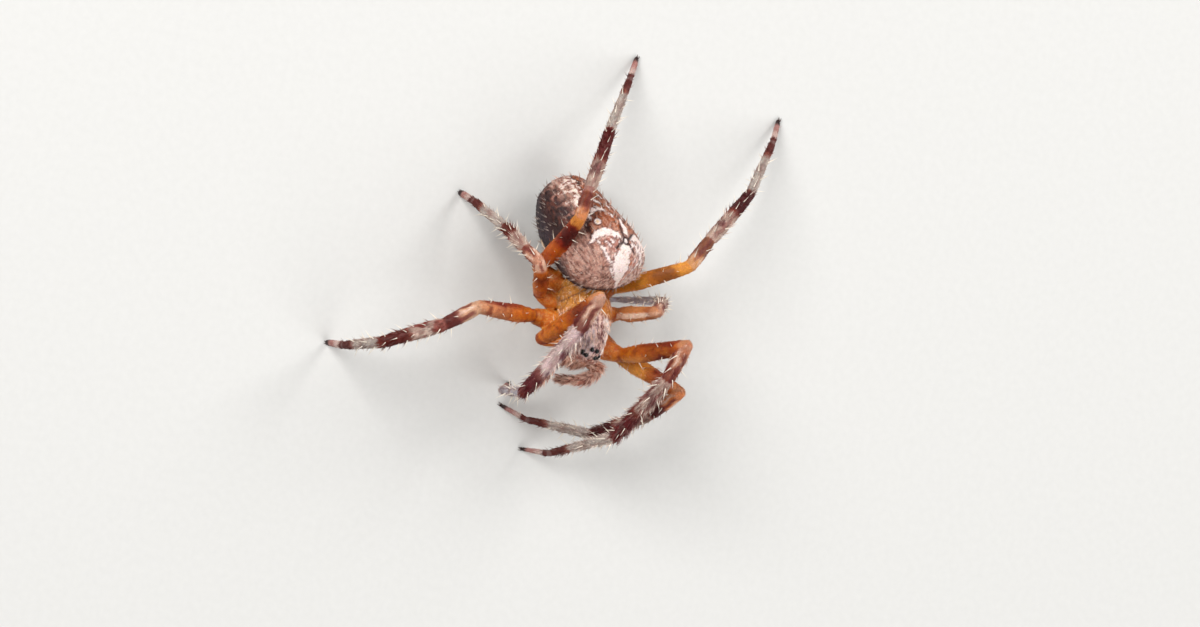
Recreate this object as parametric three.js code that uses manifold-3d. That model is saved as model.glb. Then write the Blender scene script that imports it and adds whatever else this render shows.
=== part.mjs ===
// Orb weaver spider, an adult female cross spider as a still, life-size model.
// Millimetres, +Z up, the floor at z = 0. The spider faces -Y and its left side is +X.
// The origin is on the floor, straight below the narrow waist between the two body parts.
// The legs' segments are parted by thin cuts, each across the bend of its joint.

import * as THREE from 'three';
import { mergeVertices } from 'three/addons/utils/BufferGeometryUtils.js';
import Module from 'manifold-3d';

const wasm = await Module();
wasm.setup();

// ---------------------------------------------------------------- driving sizes

const CUT = 0.05;                 // width of the thin cut between neighbouring pieces
const AROUND_LIMB = 8;            // facets round a leg segment
const AROUND_BODY = 20;           // facets round the carapace and the abdomen
const AROUND_STERNUM = 12;
const AROUND_SMALL = 6;           // facets round a coxa, a palp, a fang or a spinneret
const BIG = 60;                   // side of the block that trims a piece at a plane

const WAIST_HEIGHT = 3.8;         // height of the waist above the floor
const HEAD_RAISED = 25;           // degrees, the front body is pitched up
const RIGHT_SIDE_RAISED = 15;     // degrees, and rolled

const ABDOMEN_CENTRE = [-0.6, 3.1, 4.15];
const ABDOMEN_TURNED = 36;        // degrees, its rear swings to the spider's right
const ABDOMEN_DROOP = 33;         // degrees, its rear hangs lower than its front
const ABDOMEN_ROLLED = 34;        // degrees, right side up

const FOOT_CENTRE_HEIGHT = 0.2;   // a foot's round end, cut to a small flat by the floor

// Stations along a body: place along Y, half width, top and underside.
const CARAPACE_LEVEL = -0.1;      // height of the carapace's widest line
const CARAPACE = [
  { y: -6.3, half: 0.0, top: 0.55, under: 0.55 },
  { y: -6.18, half: 0.85, top: 1.05, under: 0.05 },
  { y: -5.75, half: 1.25, top: 1.5, under: -0.3 },
  { y: -4.8, half: 1.5, top: 1.7, under: -0.4 },
  { y: -3.8, half: 1.9, top: 1.6, under: -0.4 },
  { y: -2.7, half: 2.25, top: 1.5, under: -0.4 },
  { y: -1.6, half: 2.2, top: 1.25, under: -0.4 },
  { y: -0.6, half: 1.7, top: 0.7, under: -0.3 },
  { y: -0.05, half: 0.0, top: 0.1, under: 0.1 },
];
const ABDOMEN_LEVEL = -0.4;
const ABDOMEN = [
  { y: -4.4, half: 0.0, top: -0.6, under: -0.6 },
  { y: -4.05, half: 2.1, top: 0.95, under: -1.05 },
  { y: -3.2, half: 3.25, top: 2.0, under: -1.75 },
  { y: -1.9, half: 3.3, top: 2.5, under: -2.55 },
  { y: -0.5, half: 2.85, top: 2.5, under: -3.2 },
  { y: 1.0, half: 2.65, top: 2.2, under: -3.45 },
  { y: 2.6, half: 2.3, top: 1.95, under: -2.9 },
  { y: 3.9, half: 1.7, top: 1.4, under: -1.9 },
  { y: 4.6, half: 0.0, top: -0.1, under: -0.1 },
];
const STERNUM_LEVEL = -0.95;
const STERNUM = [
  { y: -4.75, half: 0.0, top: -0.85, under: -0.85 },
  { y: -4.6, half: 0.45, top: -0.6, under: -1.15 },
  { y: -3.9, half: 1.05, top: -0.55, under: -1.3 },
  { y: -2.9, half: 1.15, top: -0.55, under: -1.35 },
  { y: -1.9, half: 0.75, top: -0.55, under: -1.3 },
  { y: -1.3, half: 0.0, top: -0.85, under: -0.85 },
];

const WAIST_RADIUS = 0.45;
const WAIST = [[0, -0.5, 0.1], [-0.1, 1.3, 0.55]];

// Chelicerae: one for each side, hanging from under the face, each with a folded fang.
const CHELICERA_TOP = [0.5, -5.55, 0.05];
const CHELICERA_TIP = [0.46, -5.85, -1.55];
const CHELICERA_RADII = [0.45, 0.55, 0.36];
const FANG_ROOT = [0.5, -5.95, -2.0];
const FANG_TIP = [0.3, -5.2, -1.95];
const FANG_RADIUS = 0.26;

// Eyes sit where a line from inside the head leaves the carapace: degrees to the side and up.
// The two side eyes of each side share one knob and are one piece.
const EYE_SOURCE = [0, -4.7, 0.5];
const EYES = [
  { name: 'eye_front_middle', radius: 0.15, lines: [{ aside: 15, up: 17 }] },
  { name: 'eye_rear_middle', radius: 0.15, lines: [{ aside: 11, up: 38 }] },
  { name: 'eyes_side', radius: 0.11, lines: [{ aside: 26, up: 14 }, { aside: 30, up: 19 }] },
];
const EYE_SUNK = 0.15;            // part of its radius that an eye's centre is below the surface

// Spinnerets below the rear end of the abdomen, in its own frame: three tips on one mound.
const SPINNERET_MOUND = [0, 3.65, -1.6];
const SPINNERET_MOUND_RADIUS = 0.55;
const SPINNERET_TIPS = [[0.24, 4.05, -2.15], [-0.24, 4.05, -2.15], [0, 4.25, -1.85]];
const SPINNERET_RADIUS = 0.26;

// Palps, in the same way as the legs: from a root under the face, segment by segment.
const PALP_ROOT = [0.95, -5.5, -0.9];
const PALP_LENGTHS = [1.5, 0.8, 1.0, 1.7];
const PALP_RADII = [0.33, 0.36, 0.35, 0.36, 0.25];
const PALPS = [
  { side: 'left', sign: 1, headings: [-32, -81, -132, -167], lifts: [60, -53, -37, -39] },
  { side: 'right', sign: -1, headings: [-125, -105, -100, -95], lifts: [15, -30, -55, -62] },
];

// Segment lengths of the four pairs of legs, and where each left coxa starts.
const PAIRS = [
  { root: [1.25, -4.35, -0.75],
    femur: 6.1, patella: 2.8, tibia: 5.9, metatarsus: 5.7, tarsus: 2.1, stoutness: 1.0 },
  { root: [1.5, -3.55, -0.8],
    femur: 5.6, patella: 2.6, tibia: 4.5, metatarsus: 4.8, tarsus: 1.9, stoutness: 0.96 },
  { root: [1.5, -2.3, -0.8],
    femur: 4.0, patella: 1.8, tibia: 2.7, metatarsus: 3.3, tarsus: 1.5, stoutness: 0.86 },
  { root: [1.2, -0.95, -0.8],
    femur: 6.1, patella: 2.6, tibia: 5.1, metatarsus: 5.2, tarsus: 1.8, stoutness: 0.9 },
];

// Radii of a first leg at its joints, and of each segment's swell.
const COXA_RADII = [0.6, 0.8, 0.56];
const FEMUR_RADII = [0.52, 0.72, 0.54];
const PATELLA_RADII = [0.54, 0.58, 0.52];
const TIBIA_RADII = [0.52, 0.56, 0.45];
const METATARSUS_RADII = [0.45, 0.41, 0.33];
const TARSUS_RADII = [0.33, 0.3, 0.25];
const FEMUR_ARCH = 0.22;          // rise of the femur's middle above its joints' line
const TIBIA_ARCH = 0.08;

// The hip is the far end of coxa and trochanter, in the front body's frame, given for a left
// leg and mirrored for a right one; a coxa swings, so the two of a pair differ. Then each
// segment's direction in degrees: heading in plan, 0 to the spider's left and -90 ahead, and
// lift above the horizontal, for femur, patella, tibia and metatarsus. The last heading is
// the tarsus's, whose lift is what takes the foot to the floor.
const LEGS = [
  { side: 'right', pair: 0, hip: [3.2, -5.3, -0.4],
    headings: [66, -98, -114, -32, 23], lifts: [50, -30, -21, -83] },
  { side: 'right', pair: 1, hip: [4.0, -3.8, -0.6],
    headings: [-179, -140, -151, -136, -168], lifts: [28, -12, -16, -75] },
  { side: 'right', pair: 2, hip: [3.5, -2.0, -0.6],
    headings: [127, 131, 131, 143, 144], lifts: [48, -61, -55, -50] },
  { side: 'right', pair: 3, hip: [3.05, 0.3, -1.4],
    headings: [84, 70, 71, 64, 69], lifts: [50, -31, -27, -36] },
  { side: 'left', pair: 0, hip: [3.3, -4.9, 0.2],
    headings: [35, -97, -110, -141, -174], lifts: [62, -26, -31, -53] },
  { side: 'left', pair: 1, hip: [3.8, -4.3, -1.05],
    headings: [-24, -124, -142, 180, 160], lifts: [45, -27, -36, -36] },
  { side: 'left', pair: 2, hip: [3.5, -1.5, -0.6],
    headings: [28, 24, 20, -168, -165], lifts: [68, -61, -66, -40] },
  { side: 'left', pair: 3, hip: [2.9, 0.25, -0.7],
    headings: [35, 56, 52, 62, 73], lifts: [41, -19, -19, -33] },
];

// ---------------------------------------------------------------- finishes

function finish(color, roughness) {
  return { color, roughness, metalness: 0 };
}

const CARAPACE_CUTICLE = finish('#9a7468', 0.6);
const ABDOMEN_SKIN = finish('#8a5a48', 0.7);
const FEMUR_CUTICLE = finish('#b5651f', 0.45);
const PALE_CUTICLE = finish('#c9a393', 0.55);
const RINGED_CUTICLE = finish('#7a3a2e', 0.5);
const EYE_LENS = finish('#120a0c', 0.08);
const FANG_CUTICLE = finish('#2a0f0c', 0.3);

// ---------------------------------------------------------------- solids

function vector(point) {
  return new THREE.Vector3(...point);
}

function mirrored([x, y, z], sign) {
  return vector([sign * x, y, z]);
}

function towards(heading, lift) {
  const h = THREE.MathUtils.degToRad(heading);
  const l = THREE.MathUtils.degToRad(lift);
  return new THREE.Vector3(Math.cos(l) * Math.cos(h), Math.cos(l) * Math.sin(h), Math.sin(l));
}

// A geometry's triangles as one closed solid.
function solid(geometry) {
  const bare = geometry.clone();
  bare.deleteAttribute('normal');
  bare.deleteAttribute('uv');
  const merged = mergeVertices(bare, 1e-3);
  const corners = merged.index.array;
  const triangles = [];
  for (let i = 0; i < corners.length; i += 3) {
    const [a, b, c] = corners.slice(i, i + 3);
    if (a !== b && b !== c && c !== a) {
      triangles.push(a, b, c);
    }
  }
  return new wasm.Manifold(new wasm.Mesh({
    numProp: 3,
    vertProperties: new Float32Array(merged.attributes.position.array),
    triVerts: new Uint32Array(triangles),
  }));
}

function geometryOf(body) {
  const mesh = body.getMesh();
  const geometry = new THREE.BufferGeometry();
  geometry.setAttribute('position', new THREE.BufferAttribute(mesh.vertProperties, 3));
  geometry.setIndex(new THREE.BufferAttribute(mesh.triVerts, 1));
  geometry.computeVertexNormals();
  return geometry;
}

// What is left of a body behind a plane; forward is the plane's normal.
function keepBehind(body, point, forward, clearance = 0) {
  const block = new THREE.BoxGeometry(BIG, BIG, BIG);
  block.translate(0, 0, BIG / 2 + clearance);
  const turn = new THREE.Quaternion();
  turn.setFromUnitVectors(new THREE.Vector3(0, 0, 1), forward);
  block.applyQuaternion(turn);
  block.translate(point.x, point.y, point.z);
  return body.subtract(solid(block));
}

// A closed skin over stations along Y, grown outwards by a clearance.
function lofted(stations, level, around, grow = 0) {
  const upper = new THREE.CatmullRomCurve3(
    stations.map((s) => new THREE.Vector3(s.half, s.y, s.top)), false, 'centripetal');
  const lower = stations.map((s) => s.under);
  const rings = (stations.length - 1) * 2;
  const positions = [];
  const indices = [];
  for (let ring = 1; ring < rings; ring += 1) {
    const t = ring / rings;
    const at = upper.getPoint(t);
    const step = t * (stations.length - 1);
    const before = Math.floor(step);
    const under = THREE.MathUtils.lerp(lower[before], lower[before + 1] ?? 0, step - before);
    for (let k = 0; k < around; k += 1) {
      const turn = (2 * Math.PI * k) / around;
      const rise = Math.sin(turn);
      const reach = rise > 0 ? at.z - level : level - under;
      positions.push(
        Math.max(at.x + grow, 0.01) * Math.cos(turn),
        at.y,
        level + Math.max(reach + grow, 0.01) * rise);
    }
  }
  const ends = [stations[0], stations[stations.length - 1]];
  ends.forEach((end, i) => {
    positions.push(0, end.y + (i ? grow : -grow), end.top);
  });
  const last = (rings - 1) * around;
  for (let k = 0; k < around; k += 1) {
    const next = (k + 1) % around;
    indices.push(last, k, next);
    for (let ring = 0; ring < rings - 2; ring += 1) {
      const a = ring * around;
      const b = a + around;
      indices.push(a + k, b + k, a + next, a + next, b + k, b + next);
    }
    const rim = last - around;
    indices.push(last + 1, rim + next, rim + k);
  }
  const geometry = new THREE.BufferGeometry();
  geometry.setAttribute('position', new THREE.Float32BufferAttribute(positions, 3));
  geometry.setIndex(indices);
  return geometry;
}

// A limb segment from one joint to the next, with a round end about each joint.
function limb(from, to, radii, arch = 0, grow = 0, around = AROUND_LIMB) {
  const axis = to.clone().sub(from);
  const length = axis.length();
  axis.normalize();
  const [start, swell, end] = radii.map((r) => r + grow);
  const profile = [];
  const bevel = Math.SQRT1_2;
  profile.push(new THREE.Vector2(0, -start));
  profile.push(new THREE.Vector2(start * bevel, -start * bevel));
  profile.push(new THREE.Vector2(start, 0));
  profile.push(new THREE.Vector2(swell, length * 0.35));
  profile.push(new THREE.Vector2((swell + end) / 2, length * 0.7));
  profile.push(new THREE.Vector2(end, length));
  profile.push(new THREE.Vector2(end * bevel, length + end * bevel));
  profile.push(new THREE.Vector2(0, length + end));
  const geometry = new THREE.LatheGeometry(profile, around);
  const position = geometry.attributes.position;
  for (let i = 0; i < position.count; i += 1) {
    const t = THREE.MathUtils.clamp(position.getY(i) / length, 0, 1);
    position.setZ(i, position.getZ(i) + arch * Math.sin(Math.PI * t));
  }
  const side = new THREE.Vector3().crossVectors(axis, new THREE.Vector3(0, 0, 1)).normalize();
  const rise = new THREE.Vector3().crossVectors(side, axis);
  const place = new THREE.Matrix4().makeBasis(side, axis, rise).setPosition(from);
  return solid(geometry.applyMatrix4(place));
}

function smallLimb(from, to, radii, grow = 0) {
  return limb(from, to, radii, 0, grow, AROUND_SMALL);
}

// ---------------------------------------------------------------- frames and assembly

const spider = new THREE.Group();
spider.name = 'orb_weaver_spider';

const frontBody = new THREE.Group();
frontBody.name = 'front_body';
frontBody.position.set(0, 0, WAIST_HEIGHT);
frontBody.rotation.set(
  -THREE.MathUtils.degToRad(HEAD_RAISED), THREE.MathUtils.degToRad(RIGHT_SIDE_RAISED), 0);

const rearBody = new THREE.Group();
rearBody.name = 'rear_body';
rearBody.position.set(...ABDOMEN_CENTRE);
rearBody.rotation.set(
  -THREE.MathUtils.degToRad(ABDOMEN_DROOP), THREE.MathUtils.degToRad(ABDOMEN_ROLLED),
  THREE.MathUtils.degToRad(ABDOMEN_TURNED), 'ZXY');

spider.add(frontBody, rearBody);
spider.updateMatrixWorld(true);

function addPiece(group, name, body, look) {
  const mesh = new THREE.Mesh(geometryOf(body), new THREE.MeshStandardMaterial(look));
  mesh.name = name;
  group.add(mesh);
  return mesh;
}

// A solid of one group's frame, moved into another's.
function carried(geometry, from, to) {
  const move = to.matrixWorld.clone().invert().multiply(from.matrixWorld);
  return solid(geometry.clone().applyMatrix4(move));
}

const worldOfFront = frontBody.matrixWorld.elements;

// ---------------------------------------------------------------- front body

// One eye, or the knob's two, as one solid.
function eyeballs(eye, sign, surface, grow) {
  const balls = eye.lines.map(({ aside, up }) => {
    const line = towards(-90 + sign * aside, up);
    const [hit] = new THREE.Raycaster(vector(EYE_SOURCE), line).intersectObject(surface);
    const centre = hit.point.addScaledVector(line, -eye.radius * EYE_SUNK);
    const ball = new THREE.SphereGeometry(eye.radius + grow, AROUND_SMALL, 4);
    return solid(ball.translate(centre.x, centre.y, centre.z));
  });
  return balls.reduce((all, one) => all.add(one));
}

const carapaceShell = lofted(CARAPACE, CARAPACE_LEVEL, AROUND_BODY);
const carapaceGrown = lofted(CARAPACE, CARAPACE_LEVEL, AROUND_BODY, CUT);
const cheliceraeGrown = [];
const sternumGrown = lofted(STERNUM, STERNUM_LEVEL, AROUND_STERNUM, CUT);

const headSurface = new THREE.Mesh(
  carapaceShell, new THREE.MeshStandardMaterial({ side: THREE.DoubleSide }));
let carapace = solid(carapaceShell);
for (const eye of EYES) {
  for (const [side, sign] of [['left', 1], ['right', -1]]) {
    carapace = carapace.subtract(eyeballs(eye, sign, headSurface, CUT / 2));
    addPiece(frontBody, `${eye.name}_${side}`, eyeballs(eye, sign, headSurface, 0), EYE_LENS);
  }
}
addPiece(frontBody, 'carapace', carapace, CARAPACE_CUTICLE);
addPiece(frontBody, 'sternum', solid(lofted(STERNUM, STERNUM_LEVEL, AROUND_STERNUM)), RINGED_CUTICLE);

for (const [side, sign] of [['left', 1], ['right', -1]]) {
  const top = mirrored(CHELICERA_TOP, sign);
  const tip = mirrored(CHELICERA_TIP, sign);
  const root = mirrored(FANG_ROOT, sign);
  const point = mirrored(FANG_TIP, sign);
  const middle = vector([0, tip.y, tip.z]);
  const inwards = new THREE.Vector3(-sign, 0, 0);
  const fangRadii = [FANG_RADIUS, FANG_RADIUS, FANG_RADIUS];
  const fangGrown = smallLimb(root, point, fangRadii, CUT);
  let chelicera = limb(top, tip, CHELICERA_RADII);
  chelicera = keepBehind(chelicera, middle, inwards, -CUT / 2);
  chelicera = chelicera.subtract(solid(carapaceGrown)).subtract(fangGrown);
  addPiece(frontBody, `chelicera_${side}`, chelicera, CARAPACE_CUTICLE);
  cheliceraeGrown.push(limb(top, tip, CHELICERA_RADII, 0, CUT).transform(worldOfFront));
  let fang = smallLimb(root, point, fangRadii);
  fang = keepBehind(fang, middle, inwards, -CUT / 2);
  addPiece(frontBody, `fang_${side}`, fang, FANG_CUTICLE);
}

// ---------------------------------------------------------------- legs and palps

function inWorld(point) {
  return frontBody.localToWorld(point.clone());
}

// The plane across a joint: it halves the bend between two segments.
function across(before, after) {
  return before.clone().add(after).normalize();
}

function trimmed(body, joints, k) {
  const along = joints[k + 1].clone().sub(joints[k]).normalize();
  let piece = body;
  if (k > 0) {
    const before = joints[k].clone().sub(joints[k - 1]).normalize();
    piece = keepBehind(piece, joints[k], across(before, along).negate(), -CUT / 2);
  }
  if (k + 2 < joints.length) {
    const after = joints[k + 2].clone().sub(joints[k + 1]).normalize();
    piece = keepBehind(piece, joints[k + 1], across(along, after), -CUT / 2);
  }
  return piece;
}

const floor = vector([0, 0, 0]);
const down = new THREE.Vector3(0, 0, -1);
const carapaceBlock = carried(carapaceGrown, frontBody, spider);
const sternumBlock = carried(sternumGrown, frontBody, spider);
const coxaeGrown = [];
const hindFemoraGrown = [];       // they press lightly on the flanks of the abdomen

for (const leg of LEGS) {
  const pair = PAIRS[leg.pair];
  const sign = leg.side === 'left' ? 1 : -1;
  const name = `leg_${leg.side}_${leg.pair + 1}`;
  const stout = (radii) => radii.map((r) => Math.max(r * pair.stoutness, 0.25));

  const joints = [inWorld(mirrored(pair.root, sign)), inWorld(mirrored(leg.hip, sign))];
  ['femur', 'patella', 'tibia', 'metatarsus'].forEach((part, k) => {
    const step = towards(leg.headings[k], leg.lifts[k]).multiplyScalar(pair[part]);
    joints.push(joints[k + 1].clone().add(step));
  });
  const ankle = joints[5];
  const drop = THREE.MathUtils.radToDeg(
    Math.asin((FOOT_CENTRE_HEIGHT - ankle.z) / pair.tarsus));
  joints.push(ankle.clone().add(towards(leg.headings[4], drop).multiplyScalar(pair.tarsus)));

  let coxa = trimmed(smallLimb(joints[0], joints[1], stout(COXA_RADII)), joints, 0);
  coxa = coxa.subtract(carapaceBlock).subtract(sternumBlock);
  for (const neighbour of coxaeGrown) {
    coxa = coxa.subtract(neighbour);
  }
  coxaeGrown.push(smallLimb(joints[0], joints[1], stout(COXA_RADII), CUT));
  addPiece(spider, `${name}_coxa`, coxa, FEMUR_CUTICLE);

  const femur = limb(joints[1], joints[2], stout(FEMUR_RADII), FEMUR_ARCH);
  addPiece(spider, `${name}_femur`, trimmed(femur, joints, 1), FEMUR_CUTICLE);
  if (leg.pair === 3) {
    hindFemoraGrown.push(limb(joints[1], joints[2], stout(FEMUR_RADII), FEMUR_ARCH, CUT));
  }
  const patella = limb(joints[2], joints[3], stout(PATELLA_RADII));
  addPiece(spider, `${name}_patella`, trimmed(patella, joints, 2), RINGED_CUTICLE);
  const tibia = limb(joints[3], joints[4], stout(TIBIA_RADII), TIBIA_ARCH);
  addPiece(spider, `${name}_tibia`, trimmed(tibia, joints, 3), PALE_CUTICLE);
  const metatarsus = trimmed(limb(joints[4], joints[5], stout(METATARSUS_RADII)),
    joints.slice(0, 6), 4);
  const tarsus = limb(joints[5], joints[6], stout(TARSUS_RADII));
  const foot = keepBehind(metatarsus.add(tarsus), floor, down);
  addPiece(spider, `${name}_foot`, foot, PALE_CUTICLE);
}

for (const palp of PALPS) {
  const joints = [inWorld(mirrored(PALP_ROOT, palp.sign))];
  PALP_LENGTHS.forEach((length, k) => {
    const step = towards(palp.headings[k], palp.lifts[k]).multiplyScalar(length);
    joints.push(joints[k].clone().add(step));
  });
  const segments = PALP_LENGTHS.map((length, k) => smallLimb(
    joints[k], joints[k + 1], [PALP_RADII[k], PALP_RADII[k + 1], PALP_RADII[k + 1]]));
  const [first, second, third, fourth] = segments;
  let near = first.subtract(carapaceBlock).subtract(sternumBlock);
  for (const neighbour of [...coxaeGrown, ...cheliceraeGrown]) {
    near = near.subtract(neighbour);
  }
  const bend = [joints[0], joints[1], joints[2]];
  near = trimmed(near, bend, 0);
  const far = trimmed(second, bend, 1).add(third).add(fourth);
  addPiece(spider, `palp_${palp.side}_femur`, near, FEMUR_CUTICLE);
  addPiece(spider, `palp_${palp.side}_end`, far, PALE_CUTICLE);
}

// ---------------------------------------------------------------- rear body

const abdomenShell = lofted(ABDOMEN, ABDOMEN_LEVEL, AROUND_BODY);
const abdomenGrown = lofted(ABDOMEN, ABDOMEN_LEVEL, AROUND_BODY, CUT);
const spinnerets = SPINNERET_TIPS.map((tip) => smallLimb(
  vector(SPINNERET_MOUND), vector(tip),
  [SPINNERET_MOUND_RADIUS, SPINNERET_RADIUS * 1.3, SPINNERET_RADIUS])).reduce(
  (all, one) => all.add(one));
addPiece(rearBody, 'spinnerets', spinnerets.subtract(solid(abdomenGrown)), RINGED_CUTICLE);

let abdomen = solid(abdomenShell).subtract(carried(carapaceGrown, frontBody, rearBody));
const intoRear = rearBody.matrixWorld.clone().invert().elements;
for (const femur of hindFemoraGrown) {
  abdomen = abdomen.subtract(femur.transform(intoRear));
}
addPiece(rearBody, 'abdomen', abdomen, ABDOMEN_SKIN);

const waistRadii = [WAIST_RADIUS, WAIST_RADIUS, WAIST_RADIUS];
const waist = limb(vector(WAIST[0]), vector(WAIST[1]), waistRadii)
  .subtract(solid(carapaceGrown))
  .subtract(carried(abdomenGrown, rearBody, frontBody));
addPiece(frontBody, 'pedicel', waist, RINGED_CUTICLE);

export default spider;
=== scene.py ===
"""Looks of a life-size orb weaver spider: skin, coat, spines, eyes, fangs and claws.

The working arrays are in millimetres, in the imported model's frame: +Z up, the floor at 0,
the spider facing -Y with its left side at +X. Finished meshes are in metres.
"""
import math

import bmesh
import bpy
import numpy as np
from bpy.props import (FloatProperty, FloatVectorProperty, IntProperty,
                       PointerProperty)
from mathutils import Matrix, Vector
from mathutils.bvhtree import BVHTree


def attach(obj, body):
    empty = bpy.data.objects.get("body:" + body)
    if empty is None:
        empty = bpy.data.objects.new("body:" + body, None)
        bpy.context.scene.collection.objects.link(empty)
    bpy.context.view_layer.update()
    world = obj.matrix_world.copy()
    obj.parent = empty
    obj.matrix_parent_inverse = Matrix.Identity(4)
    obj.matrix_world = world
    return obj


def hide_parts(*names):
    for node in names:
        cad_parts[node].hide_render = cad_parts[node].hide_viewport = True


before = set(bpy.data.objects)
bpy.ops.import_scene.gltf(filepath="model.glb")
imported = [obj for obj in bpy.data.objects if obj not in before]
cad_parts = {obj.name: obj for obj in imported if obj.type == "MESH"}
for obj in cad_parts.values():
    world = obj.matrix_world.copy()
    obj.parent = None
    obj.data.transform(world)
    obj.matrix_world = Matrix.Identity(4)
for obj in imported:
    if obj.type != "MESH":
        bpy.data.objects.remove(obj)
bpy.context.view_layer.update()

bl_info = {
    "name": "Orb weaver spider",
    "version": (1, 0, 0),
    "blender": (4, 5, 0),
    "location": "3D View > Sidebar > Spider",
    "description": "Builds the skin, coat and fittings of a life-size orb weaver spider",
    "category": "Object",
}

MM = 0.001
SEED = 41


# ------------------------------------------------------------------ small sums

def linear(hex_colour):
    """An sRGB hex colour as linear red, green and blue."""
    parts = [int(hex_colour[i:i + 2], 16) / 255 for i in (1, 3, 5)]
    return np.array([c / 12.92 if c <= 0.04045 else ((c + 0.055) / 1.055) ** 2.4
                     for c in parts])


def turn(axis, degrees):
    return np.array(Matrix.Rotation(math.radians(degrees), 3, axis))


def unit(vectors):
    return vectors / np.maximum(np.linalg.norm(vectors, axis=-1, keepdims=True), 1e-9)


def towards(heading, lift):
    """The direction with a heading in plan, 0 to the left side, and a lift above level."""
    h, l = math.radians(heading), math.radians(lift)
    return np.array([math.cos(l) * math.cos(h), math.cos(l) * math.sin(h), math.sin(l)])


def step(low, high, value):
    """0 below low, 1 above high and smooth between; low may be the larger."""
    t = np.clip((value - low) / (high - low), 0, 1)
    return t * t * (3 - 2 * t)


def band(low, high, soft, value):
    return step(low - soft, low + soft, value) * step(high + soft, high - soft, value)


def grain(points, size, seed=0):
    """Smooth noise from 0 to 1 with lumps of a size in mm."""
    p = points / size + seed * 17.31
    cell = np.floor(p).astype(np.int64)
    f = p - cell
    f = f * f * (3 - 2 * f)
    total = np.zeros(len(points))
    for corner in np.ndindex(2, 2, 2):
        c = cell + corner
        mixed = c[:, 0] * 73856093 ^ c[:, 1] * 19349663 ^ c[:, 2] * 83492791
        mixed = (mixed & 0xFFFFFF) * 1103515245 + 12345
        value = ((mixed >> 9) & 0xFFFF) / 65535
        total += value * np.where(corner, f, 1 - f).prod(axis=1)
    return total


def paint(colour, other, amount):
    """Colours moved towards another by an amount for each point; either may be hex."""
    colour, other = (linear(c) if isinstance(c, str) else c for c in (colour, other))
    return colour + (other - colour) * np.asarray(amount)[..., None]


def layers(colour, *rows):
    """A colour painted over by rows of another colour and its amount for each point."""
    for other, amount in rows:
        colour = paint(colour, other, amount)
    return colour


# ------------------------------------------------------------------ the pose

FRONT = turn("X", -25) @ turn("Y", 15)
WAIST = np.array((0, 0, 3.8))
REAR = turn("Z", 36) @ turn("X", -33) @ turn("Y", 34)
REAR_CENTRE = np.array((-0.6, 3.1, 4.15))
ABDOMEN_LEVEL = -0.4
FOOT_CENTRE_HEIGHT = 0.2

SEGMENT_KINDS = ("coxa", "femur", "patella", "tibia", "metatarsus", "tarsus")
PAIRS = [
    {"root": (1.25, -4.35, -0.75), "lengths": (6.1, 2.8, 5.9, 5.7, 2.1), "stout": 1.0},
    {"root": (1.5, -3.55, -0.8), "lengths": (5.6, 2.6, 4.5, 4.8, 1.9), "stout": 0.96},
    {"root": (1.5, -2.3, -0.8), "lengths": (4.0, 1.8, 2.7, 3.3, 1.5), "stout": 0.86},
    {"root": (1.2, -0.95, -0.8), "lengths": (6.1, 2.6, 5.1, 5.2, 1.8), "stout": 0.9},
]
LEGS = [
    ("right", 0, (3.2, -5.3, -0.4), (66, -98, -114, -32, 23), (50, -30, -21, -83)),
    ("right", 1, (4.0, -3.8, -0.6), (-179, -140, -151, -136, -168), (28, -12, -16, -75)),
    ("right", 2, (3.5, -2.0, -0.6), (127, 131, 131, 143, 144), (48, -61, -55, -50)),
    ("right", 3, (3.05, 0.3, -1.4), (84, 70, 71, 64, 69), (50, -31, -27, -36)),
    ("left", 0, (3.3, -4.9, 0.2), (35, -97, -110, -141, -174), (62, -26, -31, -53)),
    ("left", 1, (3.8, -4.3, -1.05), (-24, -124, -142, 180, 160), (45, -27, -36, -36)),
    ("left", 2, (3.5, -1.5, -0.6), (28, 24, 20, -168, -165), (68, -61, -66, -40)),
    ("left", 3, (2.9, 0.25, -0.7), (35, 56, 52, 62, 73), (41, -19, -19, -33)),
]
LEG_RADII = {
    "coxa": (0.6, 0.8, 0.56), "femur": (0.52, 0.72, 0.54), "patella": (0.54, 0.58, 0.52),
    "tibia": (0.52, 0.56, 0.45), "metatarsus": (0.45, 0.41, 0.33),
    "tarsus": (0.33, 0.3, 0.25),
}
ARCHES = {"femur": 0.22, "tibia": 0.08}

PALP_ROOT = (0.95, -5.5, -0.9)
PALP_LENGTHS = (1.5, 0.8, 1.0, 1.7)
PALP_RADII = (0.33, 0.36, 0.35, 0.36, 0.25)
PALPS = [
    ("left", 1, (-32, -81, -132, -167), (60, -53, -37, -39)),
    ("right", -1, (-125, -105, -100, -95), (15, -30, -55, -62)),
]
CHELICERA_TOP = (0.5, -5.55, 0.05)
CHELICERA_TIP = (0.46, -5.85, -1.55)
CHELICERA_RADII = (0.45, 0.55, 0.36)


def in_front_body(point, sign=1):
    """A point of the front body's own frame, or its mirror image, as it is posed."""
    return FRONT @ (np.array(point) * (sign, 1, 1)) + WAIST


def from_front_body(points):
    """Posed points in the front body's own frame."""
    return (points - WAIST) @ FRONT


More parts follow.
